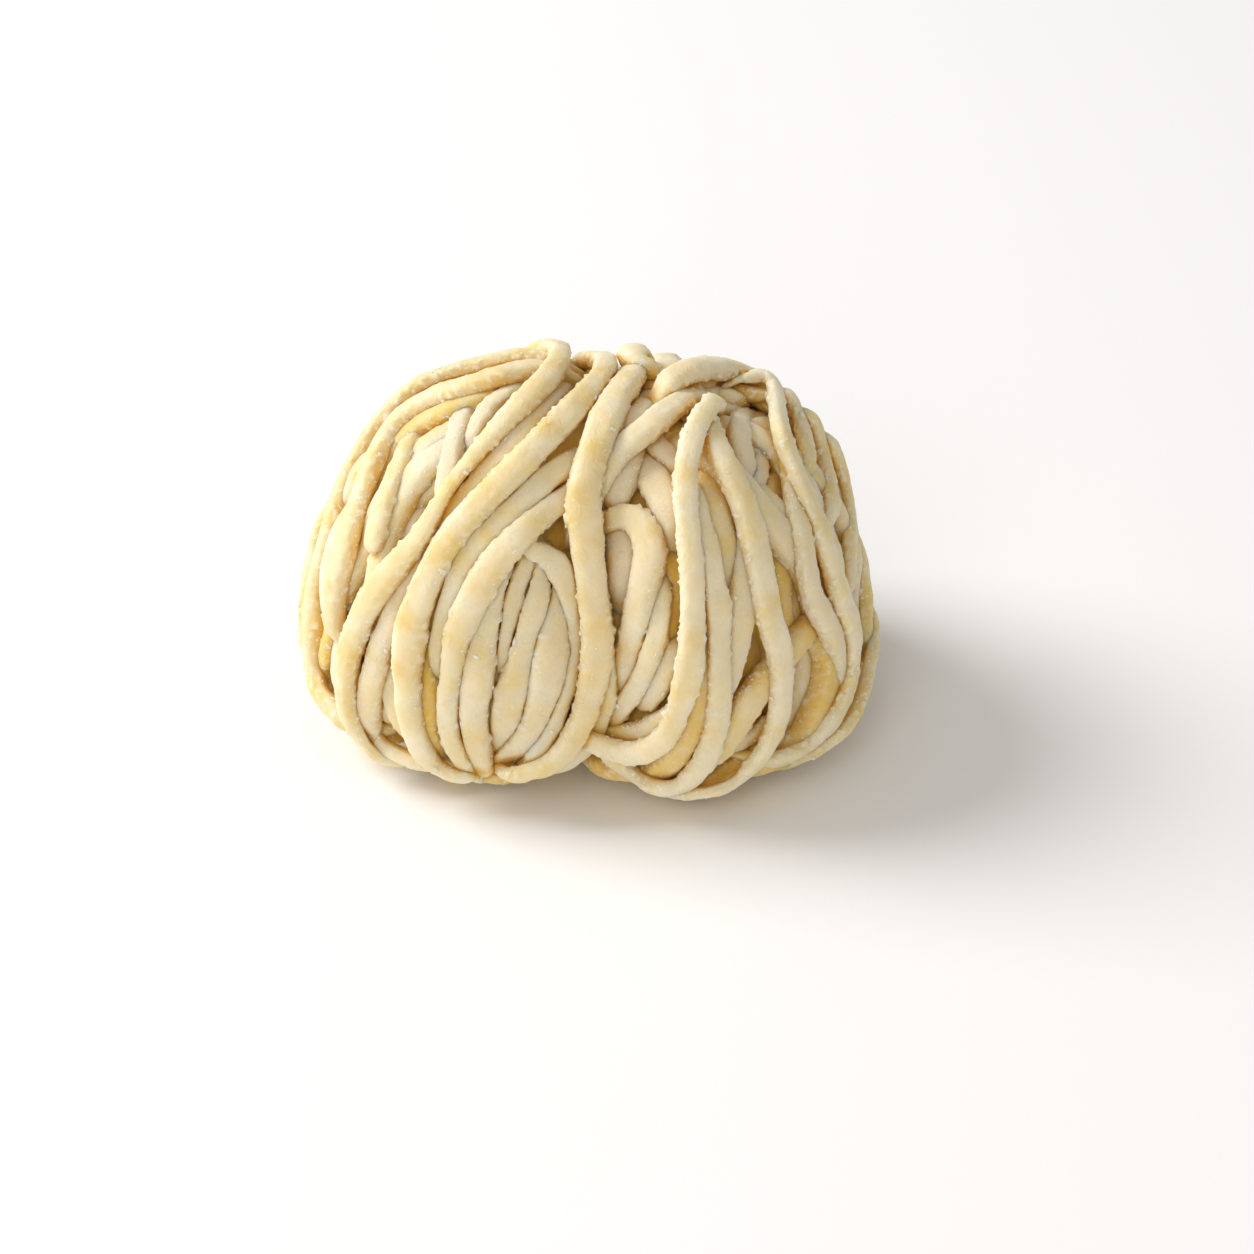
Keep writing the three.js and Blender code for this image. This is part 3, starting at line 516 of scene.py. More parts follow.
def lay_inner(nest):
    """One long strand winds through both lobes, under all the others, and lies flat underneath."""
    angle = np.arange(0, INNER_TURNS * 2 * math.pi, 0.07)
    across = -INNER_HALF_LENGTH + 2 * INNER_HALF_LENGTH * angle / angle[-1]
    across = across + 1.3 * np.sin(0.61 * angle) + 0.8 * np.sin(2 * angle + 1)
    centre = np.stack([across, np.zeros_like(angle), np.full_like(angle, INNER_CENTRE)], axis=1)
    ray = np.stack([0.06 * np.sin(angle * 1.7), np.cos(angle), np.sin(angle)], axis=1)

    def wanted(p):
        by_ground = np.interp(p[:, 2], [2, 12], [2.3, INNER_DEPTH])
        return np.where(ray[:, 2] < -0.2, by_ground, INNER_DEPTH)

    p = reach_depth(centre, ray, wanted, 50.0)
    p[:, 2] = np.maximum(p[:, 2], INNER_LOWEST)
    nest.lay("inner", softened(evenly(p, STEP), 3), INNER_WIDTH, -4, 0.15, 0.7)


def near_pairs(points, owner):
    """Every two points near enough to touch, but for close neighbours on one strand."""
    first, second = [], []
    order = np.arange(len(points))
    block = 400
    for start in range(0, len(points), block):
        apart = np.linalg.norm(points[start : start + block, None] - points[None], axis=2)
        i, j = np.nonzero(apart < TOUCHING)
        i = i + start
        keep = (i < j) & ~((owner[i] == owner[j]) & (np.abs(order[i] - order[j]) < 9))
        first.append(i[keep])
        second.append(j[keep])
    return np.concatenate(first), np.concatenate(second)


def ease_apart(nest):
    """Slides strands in and out until each lies on or beside the others, as soft round things do."""
    points, rank, seen, wide = [nest.column(key) for key in ("points", "rank", "seen", "wide")]
    owner = nest.owners()
    home = points.copy()
    joined = owner[1:] == owner[:-1]
    for turn in range(ROUNDS):
        if turn % PAIRS_KEPT == 0:
            i, j = near_pairs(points, owner)
            n_pair = unit(outwards(points[i]) + outwards(points[j]))
            higher = np.sign(rank[i] - rank[j])
            apart_by_rank = np.abs(rank[i] - rank[j]) > RANKS_APART
            way = unit(seen[i] + seen[j]) * np.where(higher == 0, 1, higher)[:, None]
        # the gap against the pair's snug size, as an ellipse: under 1, the two press into each other
        gap = points[i] - points[j]
        up = (gap * n_pair).sum(axis=1)
        flat = gap - up[:, None] * n_pair
        w = 0.5 * (wide[i] + wide[j])
        w, t = w * SNUG_WIDTH, w * SNUG_THICKNESS
        near = (flat**2).sum(axis=1) / w**2 + up**2 / t**2
        hit = near < 1
        # one of the two ranks higher: they slide along the line of sight until they touch no more
        way_up = (way * n_pair).sum(axis=1)
        way_flat = way - way_up[:, None] * n_pair
        a = (way_flat**2).sum(axis=1) / w**2 + way_up**2 / t**2
        b = 2 * ((flat * way_flat).sum(axis=1) / w**2 + up * way_up / t**2)
        slide = (-b + np.sqrt(np.maximum(b * b - 4 * a * (near - 1), 0))) / (2 * a)
        push = way * slide[:, None]
        # neither does: they part along the gap
        aside = gap * (1 / np.sqrt(np.maximum(near, 0.05)) - 1)[:, None]
        push = np.where(apart_by_rank[:, None], push, aside)[hit]
        share = np.where(higher > 0, UPPER_GIVES, 1 - UPPER_GIVES)
        share = np.where(apart_by_rank, share, 0.5)[hit][:, None]
        move = np.zeros_like(points)
        times = np.zeros(len(points))
        for point, part in ((i[hit], push * share), (j[hit], -push * (1 - share))):
            np.add.at(move, point, part)
            np.add.at(times, point, 1)
        move = move / np.maximum(times, 1)[:, None] * GIVES_WAY
        length = np.linalg.norm(move, axis=1, keepdims=True)
        move *= np.minimum(1, QUICKEST / np.maximum(length, 1e-6))
        # a strand bends smoothly, and stays near the line where it was laid
        away = points + move - home
        for _ in range(2):
            smooth = away.copy()
            smooth[1:][joined] += 0.5 * (away[:-1] - away[1:])[joined] * 0.5
            smooth[:-1][joined] += 0.5 * (away[1:] - away[:-1])[joined] * 0.5
            away = smooth
        along = (away * seen).sum(axis=1, keepdims=True)
        aside = (away - along * seen) * KEEPS_ASIDE
        length = np.linalg.norm(aside, axis=1, keepdims=True)
        aside *= np.minimum(1, MOST_ASIDE / np.maximum(length, 1e-6))
        points = home + np.minimum(along * KEEPS_HEIGHT, MOST_PROUD) * seen + aside
        points[:, 2] = np.maximum(points[:, 2], 0.5 * THICK * wide * FLATTENS)
    for k, s in enumerate(nest.parts):
        s["points"] = points[owner == k]


def press_together(nest):
    """Neighbours that all but meet swell and shift until they do, as soft dough does under its own weight."""
    points, wide, owner = nest.column("points"), nest.column("wide"), nest.owners()
    way = unit(np.vstack([np.gradient(s["points"], axis=0) for s in nest.parts]))
    across = unit(np.cross(way, outwards(points)))
    i, j = near_pairs(points, owner)
    i, j = np.concatenate([i, j]), np.concatenate([j, i])
    apart = points[j] - points[i]
    aside = (apart * across[i]).sum(axis=1)
    forth = np.abs((apart * way[i]).sum(axis=1))
    level = np.abs((apart * outwards(points[i])).sum(axis=1))
    beside = (forth < STEP) & (level < NEAR_LEVEL)
    gaps = []
    for side in (-1, 1):
        pick = beside & (side * aside > 0.5)
        gap = np.full(len(points), 9.0)
        np.minimum.at(gap, i[pick], side * aside[pick] - 0.5 * (wide[i[pick]] + wide[j[pick]]))
        gap = np.clip(gap, 0, None)
        gaps.append(gap * np.clip(2 - gap / CLOSES, 0, 1))
    swell, shift = 0.5 * (gaps[0] + gaps[1]), 0.25 * (gaps[1] - gaps[0])
    for k, s in enumerate(nest.parts):
        mine = owner == k
        s["wide"] = s["wide"] + softened(swell[mine], 3)
        s["points"] = s["points"] + softened(shift[mine][:, None] * across[mine], 3)


# ---- Node helpers ----------------------------------------------------------------------------------------
# Pattern scales are in waves to a metre. Inputs 1 and 2 of a Map Range become its 3 and 4. A Mix goes from
# its input 6 to 7 by its input 0.


def add(tree, kind, feeds=(), out=0, **settings):
    """Adds one node: its settings, then a socket or a value for its inputs, in order or by key.

    Returns the output asked for, the first one where none is."""
    node = tree.nodes.new(kind)
    for name, value in settings.items():
        setattr(node, name, value)
    for key, value in feeds.items() if isinstance(feeds, dict) else enumerate(feeds):
        if isinstance(value, bpy.types.NodeSocket):
            tree.links.new(value, node.inputs[key])
        else:
            node.inputs[key].default_value = value
    return node.outputs[out] if node.outputs else None


def colour(hex_value):
    """An sRGB hex value as linear red, green, blue and alpha."""
    parts = [int(hex_value[i : i + 2], 16) / 255 for i in (1, 3, 5)]
    return [c / 12.92 if c <= 0.04045 else ((c + 0.055) / 1.055) ** 2.4 for c in parts] + [1.0]


def new_material(name):
    """An empty material. Returns it with its tree."""
    material = bpy.data.materials.new(name)
    material.use_nodes = True
    material.node_tree.nodes.clear()
    return material, material.node_tree


def new_tree(name, inputs):
    """A geometry tree with named inputs. Returns it with its group input."""
    tree = bpy.data.node_groups.new(name, "GeometryNodeTree")
    tree.interface.new_socket("Geometry", in_out="INPUT", socket_type="NodeSocketGeometry")
    for label, (kind, default) in inputs.items():
        socket = tree.interface.new_socket(label, in_out="INPUT", socket_type="NodeSocket" + kind)
        socket.default_value = default
    tree.interface.new_socket("Geometry", in_out="OUTPUT", socket_type="NodeSocketGeometry")
    return tree, tree.nodes.new("NodeGroupInput").outputs


def finish_tree(tree, geometry, material):
    """Ends a tree in plain geometry with its material."""
    real = add(tree, "GeometryNodeRealizeInstances", {"Geometry": geometry})
    done = add(tree, "GeometryNodeSetMaterial", {"Geometry": real, "Material": material})
    add(tree, "NodeGroupOutput", {"Geometry": done})
    return tree


def linked(name, data):
    """A new object in the scene, at the origin."""
    thing = bpy.data.objects.new(name, data)
    bpy.context.scene.collection.objects.link(thing)
    return thing


def grown(name, source, tree, **values):
    """Runs a geometry tree on a source object and keeps the result as a plain mesh at the origin."""
    modifier = source.modifiers.new(tree.name, "NODES")
    modifier.node_group = tree
    for item in tree.interface.items_tree:
        key = item.name.lower().replace(" ", "_")
        if item.in_out == "INPUT" and key in values:
            modifier[item.identifier] = values[key]
    shown = source.evaluated_get(bpy.context.evaluated_depsgraph_get())
    mesh = bpy.data.meshes.new_from_object(shown)
    mesh.name = name
    source.modifiers.remove(modifier)
    return linked(name, mesh)


def joined(name, parts):
    """Makes one piece of several."""
    with bpy.context.temp_override(active_object=parts[0], selected_editable_objects=parts):
        bpy.ops.object.join()
    parts[0].name = parts[0].data.name = name
    return parts[0]


# ---- Materials -------------------------------------------------------------------------------------------
PALE_DOUGH, YOLKY_DOUGH = "#F4E7C6", "#EACF86"
# painted shade: gold for deep strands and for crevices, standing in for light passed from dough to dough
DEEP_STRAND_PAINTED_SHADE, PAINTED_CREVICE_SHADE = "#EABF50", "#E4B84E"  # light that comes back from dough to dough turns gold
FLOUR_FILM, FLOUR_SPECKS = "#E7DABD", "#FFFAEE"
DRY_FLOUR, DOUGH_CRUMBS = "#FBF6EA", "#F1E4C4"
WHITE_BOARD = "#FCFCFC"


def fresh_egg_dough():
    """Fresh egg dough, extruded and floured: waxy cream, with painted gold shade where strands face each other.
    """
    material, tree = new_material("fresh_egg_dough_floured")
    place = add(tree, "ShaderNodeTexCoord", out="Object")
    gold, flour, edge, clear, tooth = [
        add(tree, "ShaderNodeAttribute", out="Fac", attribute_name=name)
        for name in ("gold", "flour", "edge", "open", "tooth")
    ]
    # painted shade: the more shut in a point lies, the more it is painted the gold of crevice shade
    crack = add(tree, "ShaderNodeMapRange", {"Value": clear, 1: 0.5, 2: 0.08})

    # yolk isn't evenly worked in: patches about 5 mm long
    patches = add(tree, "ShaderNodeTexNoise", {"Vector": place, "Scale": 210.0, "Detail": 3.0})
    patches = add(tree, "ShaderNodeMath", (patches, 2.6, -1.3), operation="MULTIPLY_ADD")
    rich = add(tree, "ShaderNodeMath", (gold, patches), operation="ADD", use_clamp=True)
    # painted shade: strands of gold over 0.65 lie deep in the gaps and take the saturated gold of shade there
    deep_painted_shade = add(tree, "ShaderNodeMapRange", {"Value": gold, 1: 0.65, 2: 1.0})
    dough = colour(PALE_DOUGH)
    for share, tint in ((rich, YOLKY_DOUGH), (deep_painted_shade, DEEP_STRAND_PAINTED_SHADE), (crack, PAINTED_CREVICE_SHADE)):
        dough = add(tree, "ShaderNodeMix", {0: share, 6: dough, 7: colour(tint)}, 2, data_type="RGBA")

    # flour film: patches of 3 mm broken up by ever finer ones, and less of it down in cracks
    film = {"Vector": place, "Scale": 330.0, "Detail": 6.0, "Roughness": 0.7}
    film = add(tree, "ShaderNodeTexNoise", film)
    film = add(tree, "ShaderNodeMath", (crack, -0.22, film), operation="MULTIPLY_ADD")
    film = add(tree, "ShaderNodeMath", (flour, 0.42, film), operation="MULTIPLY_ADD")
    film = add(tree, "ShaderNodeMapRange", {"Value": film, 1: 0.56, 2: 0.84})
    share = add(tree, "ShaderNodeMath", (film, 0.75), operation="MULTIPLY")
    dough = add(tree, "ShaderNodeMix", {0: share, 6: dough, 7: colour(FLOUR_FILM)}, 2, data_type="RGBA")

    # specks of flour, 0.1 to 0.4 mm across and largest along a strand's edges
    cells = add(tree, "ShaderNodeTexVoronoi", {"Vector": place, "Scale": 950.0})
    chance = add(tree, "ShaderNodeTexNoise", {"Vector": place, "Scale": 500.0, "Detail": 2.0})
    reach = add(tree, "ShaderNodeMath", (chance, 0.5, -0.21), operation="MULTIPLY_ADD")
    reach = add(tree, "ShaderNodeMath", (edge, 0.15, reach), operation="MULTIPLY_ADD")
    speck = add(tree, "ShaderNodeMath", (cells, reach), operation="LESS_THAN")
    speck = add(tree, "ShaderNodeMath", (speck, tooth), operation="MAXIMUM")
    share = add(tree, "ShaderNodeMath", (speck, 0.65), operation="MULTIPLY")
    dough = add(tree, "ShaderNodeMix", {0: share, 6: dough, 7: colour(FLOUR_SPECKS)}, 2, data_type="RGBA")

    # a skin with wrinkles of 1.3 mm and a grain of 0.5 mm, smoother where no flour clings
    grain = add(tree, "ShaderNodeTexNoise", {"Vector": place, "Scale": 2200.0, "Detail": 4.0})
    wrinkle = {"Vector": place, "Scale": 760.0, "Detail": 3.0, "Distortion": 1.2}
    wrinkle = add(tree, "ShaderNodeTexNoise", wrinkle)
    height = add(tree, "ShaderNodeMath", (speck, 0.6, grain), operation="MULTIPLY_ADD")
    height = add(tree, "ShaderNodeMath", (wrinkle, 2.2, height), operation="MULTIPLY_ADD")
    bump = add(tree, "ShaderNodeBump", {"Height": height, "Strength": 0.6, "Distance": 0.14 * MM})
    rough = add(tree, "ShaderNodeMapRange", {"Value": film, 3: 0.5, 4: 0.85})
    shader = add(tree, "ShaderNodeBsdfPrincipled", {
        "Base Color": dough, "Roughness": rough, "IOR": 1.45, "Specular IOR Level": 0.4,
        "Subsurface Weight": 0.7, "Subsurface Radius": (1.0, 0.92, 0.65), "Subsurface Scale": 2.2 * MM,
        "Sheen Weight": 0.15, "Sheen Roughness": 0.5, "Normal": bump,
    })
    add(tree, "ShaderNodeOutputMaterial", {"Surface": shader})
    return material


def dry_flour():
    """Dry wheat flour and dough crumbs: matt warm white."""
    material, tree = new_material("dry_wheat_flour")
    place = add(tree, "ShaderNodeTexCoord", out="Object")
    # more dough than flour here and there, in patches of 2.5 mm
    mixed = add(tree, "ShaderNodeTexNoise", {"Vector": place, "Scale": 400.0})
    tint = {0: mixed, 6: colour(DRY_FLOUR), 7: colour(DOUGH_CRUMBS)}
    tint = add(tree, "ShaderNodeMix", tint, 2, data_type="RGBA")
    shader = add(tree, "ShaderNodeBsdfPrincipled", {
        "Base Color": tint, "Roughness": 0.9, "Specular IOR Level": 0.2,
        "Subsurface Weight": 0.2, "Subsurface Radius": (1.0, 0.8, 0.6), "Subsurface Scale": 0.4 * MM,
    })
    add(tree, "ShaderNodeOutputMaterial", {"Surface": shader})
    return material


def matt_white_board():
    """Smooth matt white board, for the floor."""
    material, tree = new_material("matt_white_board")
    shader = {"Base Color": colour(WHITE_BOARD), "Roughness": 0.8, "Specular IOR Level": 0.1}
    shader = add(tree, "ShaderNodeBsdfPrincipled", shader)
    add(tree, "ShaderNodeOutputMaterial", {"Surface": shader})
    return material


# ---- Geometry trees --------------------------------------------------------------------------------------
def strand_tree(material):
    """Sweeps a soft rounded bar along each centre-line, with lumps, ragged edges and blunt ends."""
    tree, given = new_tree("strands along lines", {
        "Sides": ("Int", 28), "Length of step": ("Float", 0.36 * MM), "Thickness share": ("Float", THICK),
        "Squareness": ("Float", 2.8), "Lumps": ("Float", 0.3 * MM), "Dents": ("Float", 0.2 * MM),
        "Rag": ("Float", 0.46 * MM),
    })
    curve = add(tree, "GeometryNodeMeshToCurve", {"Mesh": given["Geometry"]})
    curve = add(tree, "GeometryNodeCurveSplineType", {"Curve": curve}, spline_type="CATMULL_ROM")
    curve = {"Curve": curve, "Length": given["Length of step"]}
    curve = add(tree, "GeometryNodeResampleCurve", curve, mode="LENGTH")
    skin = add(tree, "GeometryNodeInputNamedAttribute", {"Name": "skin"}, data_type="FLOAT_VECTOR")
    curve = add(tree, "GeometryNodeSetCurveNormal", {"Curve": curve, "Normal": skin}, mode="FREE")

    # a cut end is rounded off over its last 2 mm
    along = add(tree, "GeometryNodeSplineParameter", out="Length")
    whole = add(tree, "GeometryNodeSplineLength", out="Length")
    to_end = add(tree, "ShaderNodeMath", (whole, along), operation="SUBTRACT")
    to_end = add(tree, "ShaderNodeMath", (along, to_end), operation="MINIMUM")
    blunt = add(tree, "ShaderNodeMapRange", {"Value": to_end, 1: 0.0, 2: 2 * MM, 3: 1.0, 4: 0.0})
    blunt = add(tree, "ShaderNodeMath", (blunt, blunt), operation="MULTIPLY")
    rounded = add(tree, "ShaderNodeMath", (1.05, blunt), operation="SUBTRACT")
    rounded = add(tree, "ShaderNodeMath", (rounded,), operation="SQRT", use_clamp=True)
    radius = add(tree, "GeometryNodeInputNamedAttribute", {"Name": "radius_m"}, data_type="FLOAT")
    radius = add(tree, "ShaderNodeMath", (radius, rounded), operation="MULTIPLY")

    # the section: a circle pushed out towards a square, then flattened
    ring = add(tree, "GeometryNodeCurvePrimitiveCircle", {"Resolution": given["Sides"], "Radius": 1.0})
    keep = tree.nodes.new("GeometryNodeCaptureAttribute")
    keep.capture_items.new("FLOAT", "Around")
    tree.links.new(ring, keep.inputs[0])
    tree.links.new(add(tree, "GeometryNodeSplineParameter", out="Factor"), keep.inputs[1])
    place = add(tree, "GeometryNodeInputPosition")
    part = add(tree, "ShaderNodeSeparateXYZ", (place,)).node.outputs
    powers = []
    for k in (0, 1):
        size = add(tree, "ShaderNodeMath", (part[k],), operation="ABSOLUTE")
        powers.append(add(tree, "ShaderNodeMath", (size, given["Squareness"]), operation="POWER"))
    total = add(tree, "ShaderNodeMath", powers, operation="ADD")
    root = add(tree, "ShaderNodeMath", (-1.0, given["Squareness"]), operation="DIVIDE")
    reach = add(tree, "ShaderNodeMath", (total, root), operation="POWER")
    squarer = add(tree, "ShaderNodeVectorMath", {0: place, "Scale": reach}, operation="SCALE")
    ring = add(tree, "GeometryNodeSetPosition", {"Geometry": keep.outputs[0], "Position": squarer})
    squash = add(tree, "ShaderNodeCombineXYZ", (given["Thickness share"], 1.0, 1.0))
    ring = add(tree, "GeometryNodeTransform", {"Geometry": ring, "Scale": squash})
    swept = {"Curve": curve, "Profile Curve": ring, "Scale": radius, "Fill Caps": True}
    swept = add(tree, "GeometryNodeCurveToMesh", swept)

    # 0 on a strand's back and belly, 1 along its two edges
    edge = add(tree, "ShaderNodeMath", (keep.outputs[1], 2 * math.pi), operation="MULTIPLY")
    edge = add(tree, "ShaderNodeMath", (edge,), operation="SINE")
    edge = add(tree, "ShaderNodeMath", (edge,), operation="ABSOLUTE")
    edge = add(tree, "ShaderNodeMath", (edge, 2.2), operation="POWER")

    # crumbs of dough about 1 mm long, that the cutter dragged up, stand along 5 mm stretches of the edges
    stretch = add(tree, "ShaderNodeTexNoise", {"Scale": 210.0, "Detail": 1.0})
    stretch = add(tree, "ShaderNodeMapRange", {"Value": stretch, 1: 0.38, 2: 0.54, 3: 0.35, 4: 1.0})
    teeth = add(tree, "ShaderNodeTexNoise", {"Scale": 1150.0, "Detail": 1.0})
    teeth = add(tree, "ShaderNodeMapRange", {"Value": teeth, 1: 0.52, 2: 0.74})
    teeth = add(tree, "ShaderNodeMath", (teeth, edge), operation="MULTIPLY")
    teeth = add(tree, "ShaderNodeMath", (teeth, stretch), operation="MULTIPLY")
    for label, value in (("edge", edge), ("tooth", teeth)):
        swept = {"Geometry": swept, "Name": label, "Value": value}
        swept = add(tree, "GeometryNodeStoreNamedAttribute", swept)

    # lumps 7 mm long and dents of 2 mm, both ways
    rise = add(tree, "ShaderNodeMath", (teeth, given["Rag"]), operation="MULTIPLY")
    for scale, detail, amount in ((150.0, 1.0, "Lumps"), (420.0, 2.0, "Dents")):
        wave = add(tree, "ShaderNodeTexNoise", {"Scale": scale, "Detail": detail})
        wave = add(tree, "ShaderNodeMath", (wave, 2.0, -1.0), operation="MULTIPLY_ADD")
        rise = add(tree, "ShaderNodeMath", (wave, given[amount], rise), operation="MULTIPLY_ADD")
    normal = add(tree, "GeometryNodeInputNormal")
    offset = add(tree, "ShaderNodeVectorMath", {0: normal, "Scale": rise}, operation="SCALE")
    moved = add(tree, "GeometryNodeSetPosition", {"Geometry": swept, "Offset": offset})
    moved = add(tree, "GeometryNodeSetShadeSmooth", {"Geometry": moved})
    return finish_tree(tree, moved, material)


def crumb_tree(material):
    """Scatters flour on open surfaces: by the strands' edges, by cracks and where a strand is floury."""
    tree, given = new_tree("flour crumbs", {
        "Crumbs to a square cm": ("Float", 300.0), "By edges": ("Float", 1.0), "Elsewhere": ("Float", 0.1),
        "Smallest": ("Float", 0.08 * MM), "Largest": ("Float", 0.2 * MM), "Flatness": ("Float", 0.6),
        "Segments": ("Int", 5), "Rings": ("Int", 3), "Seed": ("Int", SEED),
    })
    # flour falls in patches of 4 mm
    patch = add(tree, "ShaderNodeTexNoise", {"Scale": 240.0, "Detail": 2.0})
    patch = add(tree, "ShaderNodeMapRange", {"Value": patch, 1: 0.42, 2: 0.66, 3: 0.1, 4: 1.0})
    clear, edge, floury = [
        add(tree, "GeometryNodeInputNamedAttribute", {"Name": name}, data_type="FLOAT")
        for name in ("open", "edge", "flour")
    ]
    open_air = add(tree, "ShaderNodeMapRange", {"Value": clear, 1: 0.06, 2: 0.2})
    by_edge = add(tree, "ShaderNodeMath", (edge, given["By edges"]), operation="MULTIPLY")
    elsewhere = add(tree, "ShaderNodeMath", (floury, 2.0, 0.5), operation="MULTIPLY_ADD")
    elsewhere = add(tree, "ShaderNodeMath", (elsewhere, given["Elsewhere"]), operation="MULTIPLY")
    likely = add(tree, "ShaderNodeMath", (by_edge, elsewhere), operation="ADD")
    patch = add(tree, "ShaderNodeMath", (patch, open_air), operation="MULTIPLY")
    likely = add(tree, "ShaderNodeMath", (likely, patch), operation="MULTIPLY")
    crack = add(tree, "ShaderNodeMath", (1.0, clear), operation="SUBTRACT")
    crack = add(tree, "ShaderNodeMath", (crack, 2.0, 0.6), operation="MULTIPLY_ADD")
    likely = add(tree, "ShaderNodeMath", (likely, crack), operation="MULTIPLY")
    to_square_m = (given["Crumbs to a square cm"], 10000.0)
    density = add(tree, "ShaderNodeMath", to_square_m, operation="MULTIPLY")
    density = add(tree, "ShaderNodeMath", (density, likely), operation="MULTIPLY")
    spots = {"Mesh": given["Geometry"], "Density": density, "Seed": given["Seed"]}
    spots = add(tree, "GeometryNodeDistributePointsOnFaces", spots, distribute_method="RANDOM").node.outputs

    # most are small. Each has its own shape and lies on the dough, turned any way
    share, spin = [
        add(tree, "FunctionNodeRandomValue", {2: 0.0, 3: most, "Seed": given["Seed"]}, 1, data_type="FLOAT")
        for most in (1.0, 6.28)
    ]
    share = add(tree, "ShaderNodeMath", (share, share), operation="MULTIPLY")
    size = add(tree, "ShaderNodeMapRange", {"Value": share, 3: given["Smallest"], 4: given["Largest"]})
    shape = {0: (0.6, 0.6, 0.6), 1: (1.4, 1.2, 1.1), "Seed": given["Seed"]}
    shape = add(tree, "FunctionNodeRandomValue", shape, data_type="FLOAT_VECTOR")
    size = add(tree, "ShaderNodeVectorMath", {0: shape, "Scale": size}, operation="SCALE")
    turn = add(tree, "FunctionNodeAxisAngleToRotation", ((0, 0, 1), spin))
    turn = add(tree, "FunctionNodeRotateRotation", (spots[2], turn), rotation_space="LOCAL")
    crumb = {"Radius": 1.0, "Segments": given["Segments"], "Rings": given["Rings"]}
    crumb = add(tree, "GeometryNodeMeshUVSphere", crumb)
    flatter = add(tree, "ShaderNodeCombineXYZ", (1.0, 0.72, given["Flatness"]))
    crumb = add(tree, "GeometryNodeTransform", {"Geometry": crumb, "Scale": flatter})
    crumb = add(tree, "GeometryNodeSetShadeSmooth", {"Geometry": crumb})
    placed = {"Points": spots[0], "Instance": crumb, "Rotation": turn, "Scale": size}
    return finish_tree(tree, add(tree, "GeometryNodeInstanceOnPoints", placed), material)


# ---- Making the pieces -----------------------------------------------------------------------------------
UNEVEN_WIDTH, UNEVEN_GOLD = 0.07, 0.1  # how far a strand's width and colour sway along it
CORE_DEPTH, CORE_LUMPS, CORE_FOOT_DEPTH = 7.6, 0.7, 5.0
CORE_RINGS, CORE_SPOKES = 60, 96


def note(mesh, label, values):
    """Stores a value on each point of a mesh."""
    mesh.attributes.new(label, "FLOAT", "POINT").data.foreach_set("value", values)


def centre_lines(name, strands, seed):
    """The strands' middles as one mesh of lines, each point knowing its size, its way up and its finish."""
    draw = np.random.default_rng(seed)
    edges, start = [], 0
    values = {key: [] for key in ("points", "skin", "radius_m", "flour", "gold")}
    for s in strands:
        count = len(s["points"])
        edges += [(start + k, start + k + 1) for k in range(count - 1)]
        start += count
        sway = np.cumsum(draw.normal(size=count + 8))
        sway = np.convolve(sway - sway.mean(), np.ones(9) / 9, "valid")
        sway = sway / (np.abs(sway).max() + 1e-6)
        values["points"].append(s["points"] * MM)
        values["skin"].append(outwards(s["points"]))
        values["radius_m"].append(s["wide"] / 2 * (1 + UNEVEN_WIDTH * sway) * MM)
        values["flour"].append(np.full(count, s["flour"]))
        values["gold"].append(np.clip(s["gold"] + UNEVEN_GOLD * sway, 0, 1))
    values = {key: np.concatenate(found) for key, found in values.items()}
    mesh = bpy.data.meshes.new(name + "_lines")
    mesh.from_pydata(values["points"].tolist(), edges, [])
    mesh.attributes.new("skin", "FLOAT_VECTOR", "POINT").data.foreach_set("vector", values["skin"].ravel())
    for label in ("radius_m", "flour", "gold"):
        note(mesh, label, values[label])
    return linked(name + "_lines", mesh)


class Closeness:
    """A grid of where dough is, to tell how much open air each point of a strand looks out on."""

    CELL = 0.5
    LOW = np.array([-48.0, -42.0, -8.0])
    SHAPE = (192, 164, 140)
    LEANS = ((0, 1), (38, 5), (68, 6))  # degrees off the normal, and how many looks at each
    LOOKS = (1.3, 2.0, 2.8, 3.7, 4.8, 6.2, 8.0)  # how far along each look dough is felt for

    def __init__(self, strands):
        fill = np.zeros(self.SHAPE, dtype=np.float32)
        for s in strands:
            cell = ((evenly(s["points"], self.CELL) - self.LOW) / self.CELL).astype(int)
            half = s["wide"].mean() / 2 / self.CELL
            span = np.arange(-math.ceil(half), math.ceil(half) + 1)
            ball = np.stack(np.meshgrid(span, span, span, indexing="ij"), axis=-1).reshape(-1, 3)
            for offset in ball[np.linalg.norm(ball, axis=1) <= half]:
                fill[tuple((cell + offset).T)] = 1
        for axis in range(3):
            fill = (np.roll(fill, 1, axis) + fill + np.roll(fill, -1, axis)) / 3
        self.fill = fill

    def openness(self, points, normals):
        """1 where a point looks out on open air all round, 0 where it is shut in."""
        aside = unit(np.cross(normals, [0.3, 0.5, 0.81]))
        across = np.cross(normals, aside)
        found, total = 0, 0
        for lean, count in self.LEANS:
            out, flat = math.cos(math.radians(lean)), math.sin(math.radians(lean))
            for turn in np.arange(count) * 2 * math.pi / count:
                look = out * normals + flat * (math.cos(turn) * aside + math.sin(turn) * across)
                clear = np.ones(len(points))
                for far in self.LOOKS:
                    cell = ((points + look * far - self.LOW) / self.CELL).astype(int)
                    clear *= 1 - self.fill[tuple(np.clip(cell, 0, np.array(self.SHAPE) - 1).T)]
                found, total = found + out * clear, total + out
        return found / total


def note_openness(piece, closeness):
    """Stores on each point of a piece how open it lies, for its painted crevice shade and its flour."""
    mesh = piece.data
    points, normals = np.zeros(3 * len(mesh.vertices)), np.zeros(3 * len(mesh.vertices))
    mesh.vertices.foreach_get("co", points)
    mesh.vertices.foreach_get("normal", normals)
    clear = closeness.openness(points.reshape(-1, 3) / MM, normals.reshape(-1, 3))
    note(mesh, "open", clear)


